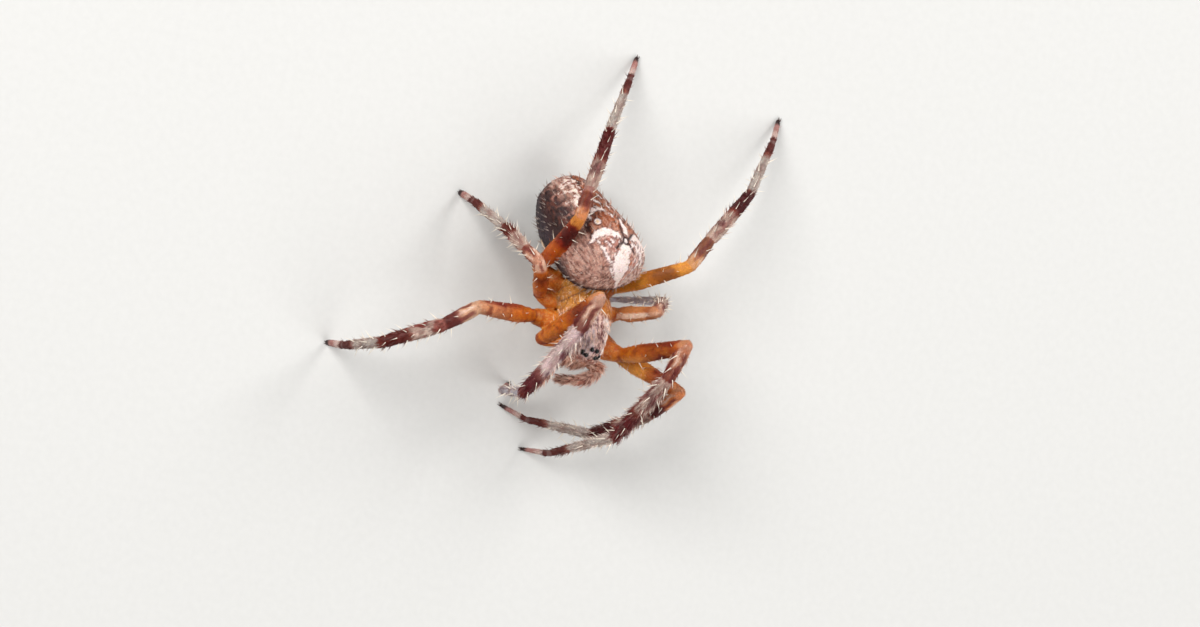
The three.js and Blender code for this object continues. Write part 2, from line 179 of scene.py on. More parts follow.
class Segment:
    """One length of a leg, palp or chelicera between two joints."""

    def __init__(self, limb, kind, node, start, end, radii, arch=0.0):
        self.limb, self.kind, self.node = limb, kind, node
        self.start, self.end = start, end
        self.length = float(np.linalg.norm(end - start))
        self.axis = (end - start) / self.length
        self.radii, self.arch = radii, arch
        side = np.cross(self.axis, (0, 0, 1))
        self.side = side / np.linalg.norm(side)
        self.rise = np.cross(self.side, self.axis)
        self.before = 0.0

    def radius(self, t):
        start, swell, end = self.radii
        return np.interp(t, (0, 0.35, 0.7, 1), (start, swell, (swell + end) / 2, end))

    def centre(self, t):
        t = np.asarray(t)[..., None]
        bow = self.arch * np.sin(np.pi * np.clip(t, 0, 1))
        return self.start + self.axis * self.length * t + self.rise * bow

    def place(self, points):
        """Share along the segment, turn about it from its upper side, and distance."""
        rel = points - self.start
        t = np.clip(rel @ self.axis / self.length, 0, 1)
        out = points - self.centre(t)
        return t, np.arctan2(out @ self.side, out @ self.rise), np.linalg.norm(out, axis=1)


def all_segments():
    found = []
    for side, pair_number, hip, headings, lifts in LEGS:
        pair = PAIRS[pair_number]
        sign = 1 if side == "left" else -1
        limb = f"leg_{side}_{pair_number + 1}"
        joints = [in_front_body(pair["root"], sign), in_front_body(hip, sign)]
        for heading, lift, length in zip(headings, lifts, pair["lengths"]):
            joints.append(joints[-1] + towards(heading, lift) * length)
        tarsus = pair["lengths"][4]
        drop = math.degrees(math.asin((FOOT_CENTRE_HEIGHT - joints[-1][2]) / tarsus))
        joints.append(joints[-1] + towards(headings[4], drop) * tarsus)
        for k, kind in enumerate(SEGMENT_KINDS):
            node = f"{limb}_{'foot' if k > 3 else kind}"
            radii = [max(r * pair["stout"], 0.25) for r in LEG_RADII[kind]]
            found.append(Segment(limb, kind, node, joints[k], joints[k + 1], radii,
                                 ARCHES.get(kind, 0)))
    for side, sign, headings, lifts in PALPS:
        joints = [in_front_body(PALP_ROOT, sign)]
        for k, (heading, lift, length) in enumerate(zip(headings, lifts, PALP_LENGTHS)):
            joints.append(joints[-1] + towards(heading, lift) * length)
            node = f"palp_{side}_{'end' if k else 'femur'}"
            radii = (PALP_RADII[k], PALP_RADII[k + 1], PALP_RADII[k + 1])
            found.append(Segment(f"palp_{side}", f"palp_{k}", node, joints[k],
                                 joints[k + 1], radii))
    for side, sign in (("left", 1), ("right", -1)):
        found.append(Segment(f"chelicera_{side}", "chelicera", f"chelicera_{side}",
                             in_front_body(CHELICERA_TOP, sign),
                             in_front_body(CHELICERA_TIP, sign), CHELICERA_RADII))
    reached = {}
    for segment in found:
        segment.before = reached.get(segment.limb, 0.0)
        reached[segment.limb] = segment.before + segment.length
    return found, reached


SEGMENTS, LIMB_LENGTHS = all_segments()
BODY_PARTS = ("carapace", "sternum", "pedicel", "abdomen", "spinnerets",
              "chelicera_left", "chelicera_right")
REAR_PARTS = ("abdomen", "spinnerets")
EYE_NODES = [f"{kind}_{side}" for kind in ("eye_front_middle", "eye_rear_middle",
                                           "eyes_side") for side in ("left", "right")]
FANG_NODES = ["fang_left", "fang_right"]
FLESH = sorted(set(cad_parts) - set(EYE_NODES) - set(FANG_NODES))
SIDE_EYE_RADIUS, MIDDLE_EYE_RADIUS = 0.112, 0.155


# ------------------------------------------------------------------ meshes

def node_arrays(name):
    """A node's merged vertices in mm and its triangles."""
    bm = bmesh.new()
    bm.from_mesh(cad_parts[name].data)
    bmesh.ops.remove_doubles(bm, verts=bm.verts, dist=1e-6)
    bmesh.ops.triangulate(bm, faces=bm.faces)
    bm.normal_update()
    points = np.array([v.co for v in bm.verts]) / MM
    normals = np.array([v.normal for v in bm.verts])
    faces = [[v.index for v in f.verts] for f in bm.faces]
    bm.free()
    return points, normals, faces


def eye_balls():
    """Centre and radius of every lens, by node."""
    found = {}
    for name in EYE_NODES:
        corners, _, _ = node_arrays(name)
        centre = (corners.min(0) + corners.max(0)) / 2
        if name.startswith("eyes_side"):
            spread = np.linalg.eigh(np.cov((corners - centre).T))[1][:, -1]
            half = np.ptp(corners @ spread) / 2 - SIDE_EYE_RADIUS
            found[name] = [(centre + spread * half * sign, SIDE_EYE_RADIUS)
                           for sign in (1, -1)]
        else:
            found[name] = [(centre, MIDDLE_EYE_RADIUS)]
    return found


def new_mesh(name, points, faces):
    """A mesh from points in mm."""
    mesh = bpy.data.meshes.new(name)
    mesh.from_pydata((np.asarray(points) * MM).tolist(), [],
                     [[int(i) for i in face] for face in faces])
    return mesh


def new_piece(name, mesh, material):
    piece = bpy.data.objects.new(name, mesh)
    bpy.context.scene.collection.objects.link(piece)
    if material and not mesh.materials:
        mesh.materials.append(material)
    return piece


def settled(carrier, name):
    """The plain mesh of an object with its modifiers done; the object goes."""
    carrier.data.name = name + "_before"
    graph = bpy.context.evaluated_depsgraph_get()
    mesh = bpy.data.meshes.new_from_object(carrier.evaluated_get(graph))
    mesh.name = name
    bpy.data.objects.remove(carrier)
    return mesh


def store(mesh, name, kind, values):
    """Writes one value, vector or colour for each vertex."""
    layer = mesh.attributes.new(name, kind, "POINT")
    field = {"FLOAT": "value", "INT": "value", "FLOAT_VECTOR": "vector",
             "FLOAT_COLOR": "color"}[kind]
    values = np.asarray(values)
    if kind == "FLOAT_COLOR":
        values = np.hstack([values, np.ones((len(values), 1))])
    layer.data.foreach_set(field, values.astype(
        np.int32 if kind == "INT" else np.float32).ravel())


def pull(items, field, width=3, kind=np.float32):
    """One field of all of a mesh's items, a row for each."""
    values = np.zeros(len(items) * width, kind)
    items.foreach_get(field, values)
    return values.reshape(-1, width)


def smooth(mesh):
    mesh.polygons.foreach_set("use_smooth", np.ones(len(mesh.polygons), bool))


def joined(parts):
    """The points and faces of several meshes as one."""
    points, faces = [], []
    for more, more_faces in parts:
        faces += [[i + len(points) for i in face] for face in more_faces]
        points += np.asarray(more).tolist()
    return np.array(points), faces


def tube(centres, radii, sides, axis_hint=(0, 0, 1)):
    """A closed round tube through centres; a radius near 0 at an end makes a point."""
    centres, radii = np.asarray(centres, float), np.asarray(radii, float)
    along = unit(np.gradient(centres, axis=0))
    side = unit(np.cross(along, axis_hint))
    rise = np.cross(side, along)
    turns = np.arange(sides) * 2 * np.pi / sides
    rings = (centres[:, None] + radii[:, None, None]
             * (np.cos(turns)[None, :, None] * side[:, None]
                + np.sin(turns)[None, :, None] * rise[:, None]))
    points = rings.reshape(-1, 3)
    faces = []
    for k in range(len(centres) - 1):
        for j in range(sides):
            n = (j + 1) % sides
            faces.append((k * sides + j, (k + 1) * sides + j,
                          (k + 1) * sides + n, k * sides + n))
    faces.append(tuple(range(sides)))
    last = (len(centres) - 1) * sides
    faces.append(tuple(last + j for j in reversed(range(sides))))
    return points, faces


# Coxae are a little stouter than their solids, so they close up with the thorax.
COXA_SWELL = 1.07
# How much of the foot's usual slimming a leg has, 1 where not named; below 0 the foot is
# stouter than its solid.
SLENDER = {"leg_right_2": 0.0, "leg_right_3": -0.45, "leg_right_4": 0.4, "leg_left_4": 0.5}


LIMB_SIDES, LIMB_RINGS, CAP_RINGS = 20, 26, 6
# How far a limb draws in at a joint, as a share of its radius, and over how many mm.
JOINT_WAIST, WAIST_LENGTH = 0.1, 0.2


def limb_surface(segment, inset):
    """A round closed length of limb with a shallow waist at each joint."""
    start, end = (segment.radii[0] * inset, segment.radii[2] * inset)
    lead = -start * np.cos(np.linspace(0.1, np.pi / 2, CAP_RINGS)) / segment.length
    tail = 1 + end * np.sin(np.linspace(0, np.pi / 2 - 0.1, CAP_RINGS)) / segment.length
    t = np.concatenate([lead, np.linspace(0, 1, LIMB_RINGS)[1:-1], tail])
    round_end = np.ones(len(t))
    before, after = t < 0, t > 1
    round_end[before] = np.sqrt(1 - np.clip(-t[before] * segment.length / start, 0, 1) ** 2)
    round_end[after] = np.sqrt(
        1 - np.clip((t[after] - 1) * segment.length / end, 0, 1) ** 2)
    inside = np.clip(t, 0, 1)
    from_end = np.minimum(inside, 1 - inside) * segment.length
    waist = 1 - JOINT_WAIST * np.exp(-(from_end / WAIST_LENGTH) ** 2)
    slim = {"metatarsus": 0.94 - 0.14 * t, "tarsus": 0.78 - 0.08 * t}.get(segment.kind, 1.0)
    slim = 1 - SLENDER.get(segment.limb, 1.0) * (1 - slim)
    slim = slim * (COXA_SWELL if segment.kind == "coxa" else 1.0)
    radii = segment.radius(inside) * inset * round_end * waist * slim
    centres = segment.centre(t)
    if segment.kind == "tarsus":
        centres[:, 2] -= segment.radii[2] * 0.3 * t ** 3
    return tube(centres, radii, LIMB_SIDES)


# ------------------------------------------------------------------ markings

EYES = eye_balls()
EYE_BALLS = [ball for balls in EYES.values() for ball in balls]
EYE_RING = "#0c0506"
WHITE = "#efdcd6"


# For each leg: the femur's ring (from, to, strength), the patella's ground and its ring,
# how many of its hairs stand out and how pale they are.
LEG_LOOKS = {
    "leg_right_1": ((0.6, 0.9, 0.65), "#ad7b6a", (0.7, 0.95, 0.5), 0.7, 0.6),
    "leg_right_2": ((0.5, 0.8, 0.2), "#b98a6a", (0.6, 1.0, 0.95), 0.35, 0.5),
    "leg_right_3": ((0.52, 0.76, 0.45), "#b07058", (0.7, 0.95, 0.6), 0.5, 0.6),
    "leg_right_4": ((0.6, 0.92, 1.0), "#b8641a", (0.3, 0.82, 0.65), 0.35, 0.5),
    "leg_left_1": ((0.45, 0.9, 0.35), "#a85a38", (0.6, 1.0, 0.5), 1.4, 1.0),
    "leg_left_2": ((0.62, 0.9, 0.6), "#c4661c", (0.6, 0.96, 0.85), 0.9, 0.8),
    "leg_left_3": ((0.88, 1.0, 0.5), "#94503a", (0.7, 0.95, 0.5), 0.5, 0.6),
    "leg_left_4": ((0.56, 0.86, 0.55), "#b87a3c", (0.4, 1.0, 0.6), 0.35, 0.5),
}
DARK_RING = "#430a0e"
RED_RING = {"leg_left_1": "#5c1418", "leg_right_1": "#54121a", "leg_right_2": "#54140c",
            "leg_right_3": "#5a1a10", "leg_right_4": "#500c0c"}
# Where the ring at the far end of the tibia starts; 0.55 on the other legs.
TIBIA_RING = {"leg_right_1": 0.68, "leg_right_4": 0.46}
BLOTCHED_FEMORA = ("leg_left_1", "leg_left_2", "leg_right_2")


def leg_colours(kind, t, around, points, limb):
    """Colours of one kind of leg segment: t along it, around from its upper side."""
    femur_ring, knee, knee_ring, bristly, _ = LEG_LOOKS[limb]
    dark_ring = RED_RING.get(limb, DARK_RING)
    mottle, fine, blotch = (grain(points, size, seed)
                            for size, seed in ((0.3, 1), (0.11, 2), (0.55, 12)))
    t = t + (mottle - 0.5) * 0.1
    upper = 0.5 + 0.5 * np.cos(around)
    stripes = 0.5 + 0.5 * np.cos(around * 4 + 0.6 + (blotch - 0.5) * 3)
    if kind in ("coxa", "femur"):
        rows = [("#cc7416", mottle),
                ("#de9c38", 0.7 * step(0.6, 0.1, upper)),
                ("#7c2a0c", 0.5 * step(0.55, 0.85, blotch) * upper)]
        if kind == "coxa":
            return layers("#a5440a", *rows, ("#cf9a58", 0.4 * step(0.5, 0.75, fine)))
        rows += {
            "leg_right_2": [("#c08058", 0.7 * step(0.45, 0.8, t)),
                            ("#7a2214", 0.8 * step(0.35, 0.8, np.sin(around))
                             * step(0.25, 0.4, t))],
            "leg_right_4": [("#a83406", 0.5 * step(0.6, 0.4, t))],
            "leg_left_1": [("#e09440", 0.6 * step(0.6, 0.35, t)
                            * step(0.1, 0.7, np.cos(around - 1.1))),
                           ("#74200c", 0.7 * step(0.3, 0.45, t)
                            * step(0.3, 0.8, np.cos(around + 2.0)))],
            # painted light: the left second femur is brightened over its first half, to
            # offset the shade it lies in
            "leg_left_2": [("#eba648", 0.6 * step(0.75, 0.45, t))],
            "leg_left_3": [("#c4824e", 0.8), ("#f4e0cc", 0.7 * step(0.95, 0.985, upper))],
            # painted light: the left fourth femur is brightened all over, to offset the
            # abdomen's shadow on it
            "leg_left_4": [("#eaa238", 0.7)],
        }.get(limb, [])
        if limb in BLOTCHED_FEMORA:
            rows.append(("#6e1808", 0.8 * step(0.5, 0.68, blotch) * step(0.55, 0.85, upper)
                         * step(0.25, 0.45, t)))
        start, end, strength = femur_ring
        ring = strength * (0.7 + 0.3 * upper)
        rows += [("#7f1d08", ring * band(start - 0.06, end, 0.06, t)),
                 ("#3e0806", 0.9 * ring * band(start + 0.05, end - 0.04, 0.05, t)
                  * step(0.3, 0.6, upper * 0.5 + mottle * 0.5)),
                 ("#cb8438" if limb.endswith("4") else "#bc8460", 0.7 * step(0.9, 0.97, t))]
        if limb == "leg_right_3":
            rows += [("#e0b8a0", 0.75 * step(0.8, 0.9, t)),
                     ("#8a2a14", 0.8 * step(0.6, 0.85, stripes) * step(0.8, 0.9, t))]
        return layers("#a5440a", *rows, ("#7a2c18", 0.7 * step(0.07, 0.02, t)))
    if kind == "patella":
        start, end, strength = knee_ring
        plain = 0.75 if limb.endswith("4") else 1.0
        return layers(
            knee,
            ("#d0a080", 0.6 * mottle),
            ("#6a201c", 0.85 * plain * step(0.5, 0.8, stripes) * step(0.05, 0.2, t)),
            ("#e6c8b4", 0.6 * plain * step(0.2, 0.04, stripes) * band(0.1, 0.62, 0.08, t)),
            ("#7c2a26", 0.8 * strength * step(start - 0.16, start, t)),
            (dark_ring, strength * band(start, end, 0.06, t) * step(0.1, 0.4, fine + 0.15)),
            ("#96706a", 0.6 * step(end, end + 0.05, t)))
    if kind == "tibia":
        rows = [("#bca192", mottle)]
        if limb == "leg_right_1":
            rows += [("#d4babc", 0.7), ("#532638", 0.9 * step(0.62, 0.75, blotch))]
        rows += [("#7d3834", (0.75 if bristly > 0.8 else 0.45) * step(0.5, 0.75, stripes)
                  * band(0.04, 0.56, 0.08, t)),
                 ("#5d2026", 0.7 * band(0.2, 0.34, 0.04, t) * step(0.35, 0.6, blotch))]
        if limb == "leg_right_2":
            rows += [("#7c2c22", 0.8 * step(0.56, 0.66, blotch)),
                     ("#dcc4b4", 0.6 * step(0.6, 0.75, mottle))]
        faint = 0.35 if limb == "leg_left_3" else 1.0
        first = TIBIA_RING.get(limb, 0.55)
        return layers(
            "#8f6c60", *rows,
            ("#75200f", 0.88 * faint * step(first - 0.08, first, t)),
            (dark_ring, 0.94 * faint * band(first + 0.03, 0.985, 0.04, t)
             * step(0.05, 0.3, fine + 0.15)))
    if limb == "leg_left_3":
        return paint("#8f8792", "#c9c2cc", mottle)
    pale_foot = limb == "leg_right_1"
    if kind == "metatarsus":
        # On the first right leg the metatarsus is pale hair tinted lilac; the lilac stands
        # for a painted out-of-focus highlight with a purple fringe
        rows = [("#bdb0a6", mottle)] + [("#a8a4b8", 0.6)] * pale_foot
        rows += [("#80584e", 0.5 * band(0.36, 0.5, 0.06, t)),
                 ("#7c5850", 0.5 * step(0.6, 0.85, stripes))]
        if pale_foot:
            rows += [("#6e5058", 0.5 * step(0.7, 0.8, t))]
        else:
            rows += [("#7a2c18", 0.9 * step(0.62, 0.7, t)),
                     ("#481010", 0.8 * step(0.7, 0.76, t))]
        return layers("#8d817a", *rows)
    rows = [] if pale_foot else [("#481010", 0.8 * step(0.16, 0.08, t))]
    return layers("#a08278", ("#c8aca4", mottle), *rows,
                  ("#8a3a34", 0.6 * step(0.35, 0.6, t)),
                  ("#1d0b0d", 0.95 * step(0.78, 0.9, t)))


def palp_colours(kind, t, points):
    """Colours of a palp's four lengths and of a chelicera."""
    mottle = grain(points, 0.22, 3)
    if kind == "chelicera":
        return layers("#b05830", ("#f0b090", mottle), ("#4b1c18", 0.7 * step(0.75, 1.0, t)))
    rows = [("#f4bca2", step(0.3, 0.6, mottle))]
    if kind == "palp_0":
        rows.append(("#b06030", 0.6))
    else:
        rows.append(("#7c3434", 0.5 * band(0.68, 0.92, 0.08, t)))
    if kind == "palp_3":
        rows.append(("#4c1e1c", 0.25 * step(0.66, 0.95, t)))
    return layers("#b45c42", *rows)


def front_colours(points):
    """Carapace, sternum and pedicel, in the front body's own frame."""
    local = from_front_body(points)
    x, y, z = local.T
    mottle = grain(points, 0.3, 4)
    fine = grain(local * (2.4, 0.7, 1.5), 0.16, 5)
    blotch = grain(local, 0.5, 13)
    side = np.abs(x)
    thorax = layers(
        "#a04c0e",
        ("#cc8228", mottle),
        ("#b87058", 0.35 * step(0.35, 0.7, blotch)),
        ("#bd8426", 0.5 * step(0.3, -0.6, x)),
        ("#e8b888", 0.7 * step(0.62, 0.8, grain(points, 0.09, 15))),
        ("#7a2a12", 0.45 * step(0.6, 0.85, fine)))
    head = layers(
        "#6a343a",
        ("#dcb4aa", step(0.36, 0.56, fine)),
        ("#f4e8e6", 0.75 * step(0.45, 1.0, x + (fine - 0.5) * 0.8)),
        ("#ffffff", 0.85 * step(0.75, 1.0, x + (fine - 0.5) * 0.4)),
        ("#e6d2d2", 0.5 * step(-4.0, -4.6, y) * step(0.1, -0.3, x)),
        ("#5a2a34", 0.55 * step(0.62, 0.8, blotch) * step(0.2, 0.6, side)))
    edge = np.interp(y, (-5.6, -4.8, -3.8, -2.9, -2.3), (0.95, 1.05, 0.95, 0.55, 0.15))
    groove = np.abs(side - edge - (blotch - 0.5) * 0.3)
    # The groove and furrows are darkest on the right side of the head, where they are
    # partly the real grooves and partly painted shade cast by the first right leg
    right = np.where(x > 0, 0.3, 1.0)
    branch = np.abs(np.sin(y * 3.3 + side * 2.2))
    belly = layers(
        "#2e1410",
        ("#5a3420", mottle),
        ("#c99a55", 0.8 * step(0.3, 0.12, side) * band(-4.4, -1.8, 0.2, y)))
    colour = layers(
        thorax,
        (head, step(-2.5, -3.3, y + 0.25 * side)),
        ("#3f1620", 0.85 * right * step(0.24, 0.08, groove) * band(-5.3, -2.3, 0.2, y)),
        ("#4a1a20", 0.6 * right * step(0.3, 0.1, branch)
         * step(edge + 0.1, edge + 0.35, side) * band(-5.0, -1.2, 0.3, y)),
        ("#5a2a30", 0.6 * step(0.12, 0.03, side) * band(-5.2, -1.9, 0.3, y)),
        ("#b5654a", 0.8 * step(-5.85, -6.1, y) * step(0.9, 0.5, z)),
        (belly, step(-0.35, -0.6, z)))
    for centre, radius in EYE_BALLS:
        near = np.linalg.norm(points - centre, axis=1)
        colour = paint(colour, EYE_RING, 0.97 * step(radius + 0.05, radius + 0.01, near))
    return colour


# The pattern's centre and turn on the abdomen, and the mm across for each radian round it.
CROSS_CENTRE = (0.1, -2.45)
PATTERN_TURN = math.radians(13)
MM_ROUND = 3.0

# White marks of the back, as lines of (across, along, half width) in mm.
CROSS = [
    [(0.0, -2.68, 0.1), (-0.25, -2.94, 0.38), (-0.2, -3.2, 0.58), (-0.33, -3.46, 0.7),
     (-0.2, -3.7, 0.42), (-0.35, -3.92, 0.9), (-0.8, -4.1, 0.9), (-0.85, -4.3, 0.85)],
    [(0.14, -0.6, 0.07), (0.05, -1.1, 0.17), (0.1, -1.5, 0.23), (0.14, -1.85, 0.15),
     (0.12, -2.1, 0.05)],
    [(-0.45, -2.33, 0.1), (-0.78, -2.1, 0.18), (-1.15, -1.84, 0.25), (-1.6, -1.68, 0.29),
     (-2.1, -1.72, 0.28), (-2.45, -1.93, 0.2), (-2.66, -2.15, 0.1)],
    [(0.45, -2.3, 0.1), (0.66, -2.15, 0.18), (1.3, -2.0, 0.28), (1.95, -2.12, 0.3),
     (2.5, -2.12, 0.26), (3.1, -2.1, 0.2)],
    [(0.85, -2.5, 0.06), (1.31, -2.8, 0.12), (2.03, -3.0, 0.16), (2.76, -3.3, 0.14)],
    [(1.6, -2.45, 0.05), (2.2, -2.6, 0.1), (3.0, -2.7, 0.12)],
]
PAIRED_MARKS = [
    [(0.6, -2.62, 0.14), (0.72, -2.72, 0.1)],
    [(2.24, -2.4, 0.09), (2.2, -2.5, 0.11)],
    [(2.18, -2.82, 0.12), (2.14, -2.92, 0.13)], [(1.7, -2.6, 0.1), (1.62, -2.74, 0.12)],
    [(2.08, -3.2, 0.1), (2.06, -3.26, 0.11)],
    [(2.06, -3.52, 0.13), (2.0, -3.6, 0.12)],
    [(1.78, -3.84, 0.12), (1.7, -3.92, 0.1)], [(1.35, -3.3, 0.08), (1.38, -3.4, 0.08)],
    [(1.95, -4.12, 0.1), (2.1, -4.2, 0.09)],
    [(1.3, -2.42, 0.07), (1.34, -2.56, 0.09)],
    [(0.5, -0.5, 0.14), (0.6, -0.28, 0.1)],
    [(2.0, 0.0, 0.1), (1.8, 0.22, 0.14), (1.45, 0.28, 0.15), (1.05, 0.1, 0.1)],
    [(2.3, -0.35, 0.15), (2.2, -0.1, 0.12)],
    [(0.3, 0.35, 0.1), (0.36, 0.6, 0.12)], [(0.95, 0.85, 0.1), (1.2, 1.0, 0.12)],
    [(0.3, 1.45, 0.1), (0.4, 1.65, 0.08)], [(0.85, 1.9, 0.1), (1.0, 2.0, 0.1)],
    [(0.3, 2.6, 0.08), (0.35, 2.8, 0.08)],
]
# Thin dark lines that part the arms of the cross.
SEAMS = [
    [(-0.1, -2.45, 0.04), (-0.3, -1.95, 0.05), (-0.28, -1.33, 0.03)],
    [(-0.1, -2.45, 0.04), (0.4, -2.2, 0.05), (0.9, -1.8, 0.03)],
    [(-0.1, -2.45, 0.04), (-0.5, -2.6, 0.05), (-1.15, -2.96, 0.03)],
    [(-0.1, -2.45, 0.04), (0.4, -2.74, 0.05), (0.95, -3.13, 0.03)],
]
RINGED_SPOTS = [(1.83, -0.82, 0.17)]
LEAF_EDGE = [(1.2, 3.95, 0.2), (1.4, 3.35, 0.32), (1.62, 2.55, 0.25), (1.85, 1.9, 0.28),
             (2.3, 1.35, 0.22), (2.5, 0.7, 0.12), (2.75, 0.1, 0.1)]
LEAF_LOBES = [[(1.7, 3.0, 0.2), (2.2, 2.9, 0.16), (2.6, 2.6, 0.1)],
              [(1.9, 2.1, 0.18), (2.6, 2.2, 0.14), (3.1, 2.2, 0.08)],
              [(2.4, 1.3, 0.15), (2.9, 1.3, 0.1)]]


def stroke(across, along, line, swell=0.0):
    """1 on a line of varying half width, 0 off it, with a soft edge."""
    best = np.full(len(across), 9.0)
    for (x0, y0, w0), (x1, y1, w1) in zip(line, line[1:]):
        dx, dy = x1 - x0, y1 - y0
        t = np.clip(((across - x0) * dx + (along - y0) * dy) / (dx * dx + dy * dy), 0, 1)
        gap = np.hypot(across - x0 - t * dx, along - y0 - t * dy)
        best = np.minimum(best, gap - (w0 + (w1 - w0) * t) - swell)
    return step(0.05, -0.05, best)


def abdomen_map(points):
    """The abdomen's own frame, turn round it, and the way across from the middle line.

    The pattern sits a little askew on the back: its middle line is turned about the
    centre of the cross.
    """
    local = (points - REAR_CENTRE) @ REAR
    x, y, z = local.T
    c, s = math.cos(PATTERN_TURN), math.sin(PATTERN_TURN)
    dx, dy = x - CROSS_CENTRE[0], y - CROSS_CENTRE[1]
    along = dx * s + dy * c + CROSS_CENTRE[1]
    across = np.arctan2(dx * c - dy * s, z - ABDOMEN_LEVEL) * MM_ROUND
    upper = step(-1.2, 0.6, z)
    plain = np.arctan2(x, z - ABDOMEN_LEVEL)
    middle = np.interp(along, (-1.5, 0.5, 2.2, 3.6), (0, 0, -0.45, -1.3))
    across = upper * (across - middle) + (1 - upper) * plain * MM_ROUND
    along = upper * along + (1 - upper) * y
    return local, plain, across, along


def abdomen_colours(points):
    """The abdomen and spinnerets, by the way across from the middle line and along it."""
    local, _, across, y = abdomen_map(points)
    mottle = grain(points, 0.42, 6)
    fine = grain(points, 0.15, 7)
    streak = grain(local * (2.8, 0.8, 2.2), 0.3, 8)
    wobble = grain(points, 0.3, 9) - 0.5
    small = grain(points, 0.13, 14) - 0.5
    side = np.abs(across)
    combed = grain(local * (4.0, 0.7, 3.0), 0.28, 16)
    colour = layers(
        "#8a5646",
        ("#cfa594", streak),
        ("#4c2019", 0.75 * step(0.52, 0.7, combed)))

    # the leaf-shaped field of the back, with a scalloped dark rim and pale edge
    scallop = 0.15 * np.abs(np.sin(y * 2.1 + 0.4))
    half_field = np.interp(y, (-2.0, -1.2, -0.3, 0.7, 1.4, 1.9, 2.5, 3.4, 4.4),
                           (2.5, 2.6, 2.4, 2.15, 1.9, 1.5, 1.35, 1.05, 0.5)) + scallop
    edge = side + wobble * 0.35 - half_field
    behind = step(-2.1, -1.7, y + (side - 1.6) * 0.2)
    field = layers(
        "#6e2a10",
        ("#a4562a", mottle),
        ("#cc9880", 0.55 * step(0.52, 0.7, streak)),
        ("#36100c", 0.8 * step(0.55, 0.72, fine)))
    colour = layers(
        colour,
        (field, 0.95 * behind * step(0.12, -0.12, edge)),
        ("#260a0a", 0.85 * behind * band(-0.22, 0.05, 0.07, edge)))

    # the shoulders in front of the cross, tan and pink between the white marks
    shoulder = step(-1.9, -2.3, y - (side - 1.2) * 0.35)
    pale = layers(
        "#a4685a",
        ("#e2b8aa", step(0.35, 0.6, fine)),
        ("#b8642e", 0.6 * step(0.55, 0.75, mottle)),
        ("#5c2620", 0.7 * step(0.62, 0.74, streak)))
    colour = layers(
        colour,
        (pale, 0.85 * shoulder * step(2.4, 1.9, side)),
        ("#d8b8ae", 0.6 * shoulder * step(0.6, 1.6, across) * step(0.35, 0.6, streak)))

    # blotched flanks: near black with broken cross stripes, smooth grey purple below
    flank = step(2.5, 3.2, side + wobble * 0.8) * step(-1.3, 0.0, y)
    slant = np.sin((y * 3.3 - side * 0.5) * 2.0 + streak * 2.6 + mottle * 2.0)
    dark = layers(
        "#12060a",
        ("#321317", mottle),
        ("#6a3020", 0.6 * step(0.5, 0.75, streak) * step(4.8, 3.8, side)),
        ("#b88070", 0.8 * step(0.56, 0.94, slant) * step(4.0, 2.9, side + wobble)))
    commas = band(6.9, 7.5, 0.12, side) * band(-1.6, 1.2, 0.3, y)
    colour = layers(
        colour,
        (dark, 0.95 * flank),
        (paint("#1a1016", "#3a2b33", mottle), 0.9 * step(4.6, 5.6, side)),
        ("#2b1a18", 0.8 * step(7.2, 7.8, side)),
        ("#d9b98a", 0.8 * commas))

    # the pale leaf edge, then the white cross and its spots, each with a dark outline
    bent, bowed = side + wobble * 0.26 + small * 0.24, y + small * 0.28 + wobble * 0.14
    rim = paint("#7c4030", "#f4e0d4", step(0.42, 0.58, fine))
    colour = layers(colour, *((rim, 0.78 * stroke(bent, bowed, line))
                              for line in [LEAF_EDGE] + LEAF_LOBES))
    bent_cross = across + wobble * 0.4 + small * 0.5
    mild = across + wobble * 0.25 + small * 0.2
    marks = [(bent_cross, CROSS[0])] + [(mild, line) for line in CROSS[1:]]
    marks += [(bent, line) for line in PAIRED_MARKS]
    for tone, amount, swell in (("#4a1914", 0.8, 0.08), (WHITE, 0.97, 0.0)):
        colour = layers(colour, *((tone, amount * stroke(way, bowed, line, swell))
                                  for way, line in marks))
    for x0, y0, radius in RINGED_SPOTS:
        gap = np.hypot(side - x0, (y - y0) * 0.9)
        colour = layers(
            colour,
            ("#4a1914", 0.7 * step(radius + 0.2, radius + 0.12, gap)),
            (WHITE, 0.95 * step(radius + 0.08, radius + 0.02, gap)),
            ("#d8a860", 0.7 * step(radius - 0.02, radius - 0.08, gap)))
    gap = np.hypot(across + 0.1, y + 2.45)
    return layers(
        colour,
        *(("#2f0f10", 0.97 * stroke(across, y, line, 0.05)) for line in SEAMS),
        ("#2f0f10", 0.95 * step(0.34, 0.28, gap)),
        (WHITE, 0.95 * step(0.19, 0.14, gap)))


# ------------------------------------------------------------------ places on the skin

def nearest_parts(points):
    """For each point, the index in FLESH of the CAD node that it stands for."""
    parts = [node_arrays(name)[::2] for name in FLESH]
    corners, triangles = joined(parts)
    owner = np.repeat(np.arange(len(FLESH)), [len(faces) for _, faces in parts])
    tree = BVHTree.FromPolygons(corners.tolist(), triangles)
    return owner[[tree.find_nearest(p)[2] for p in points.tolist()]]


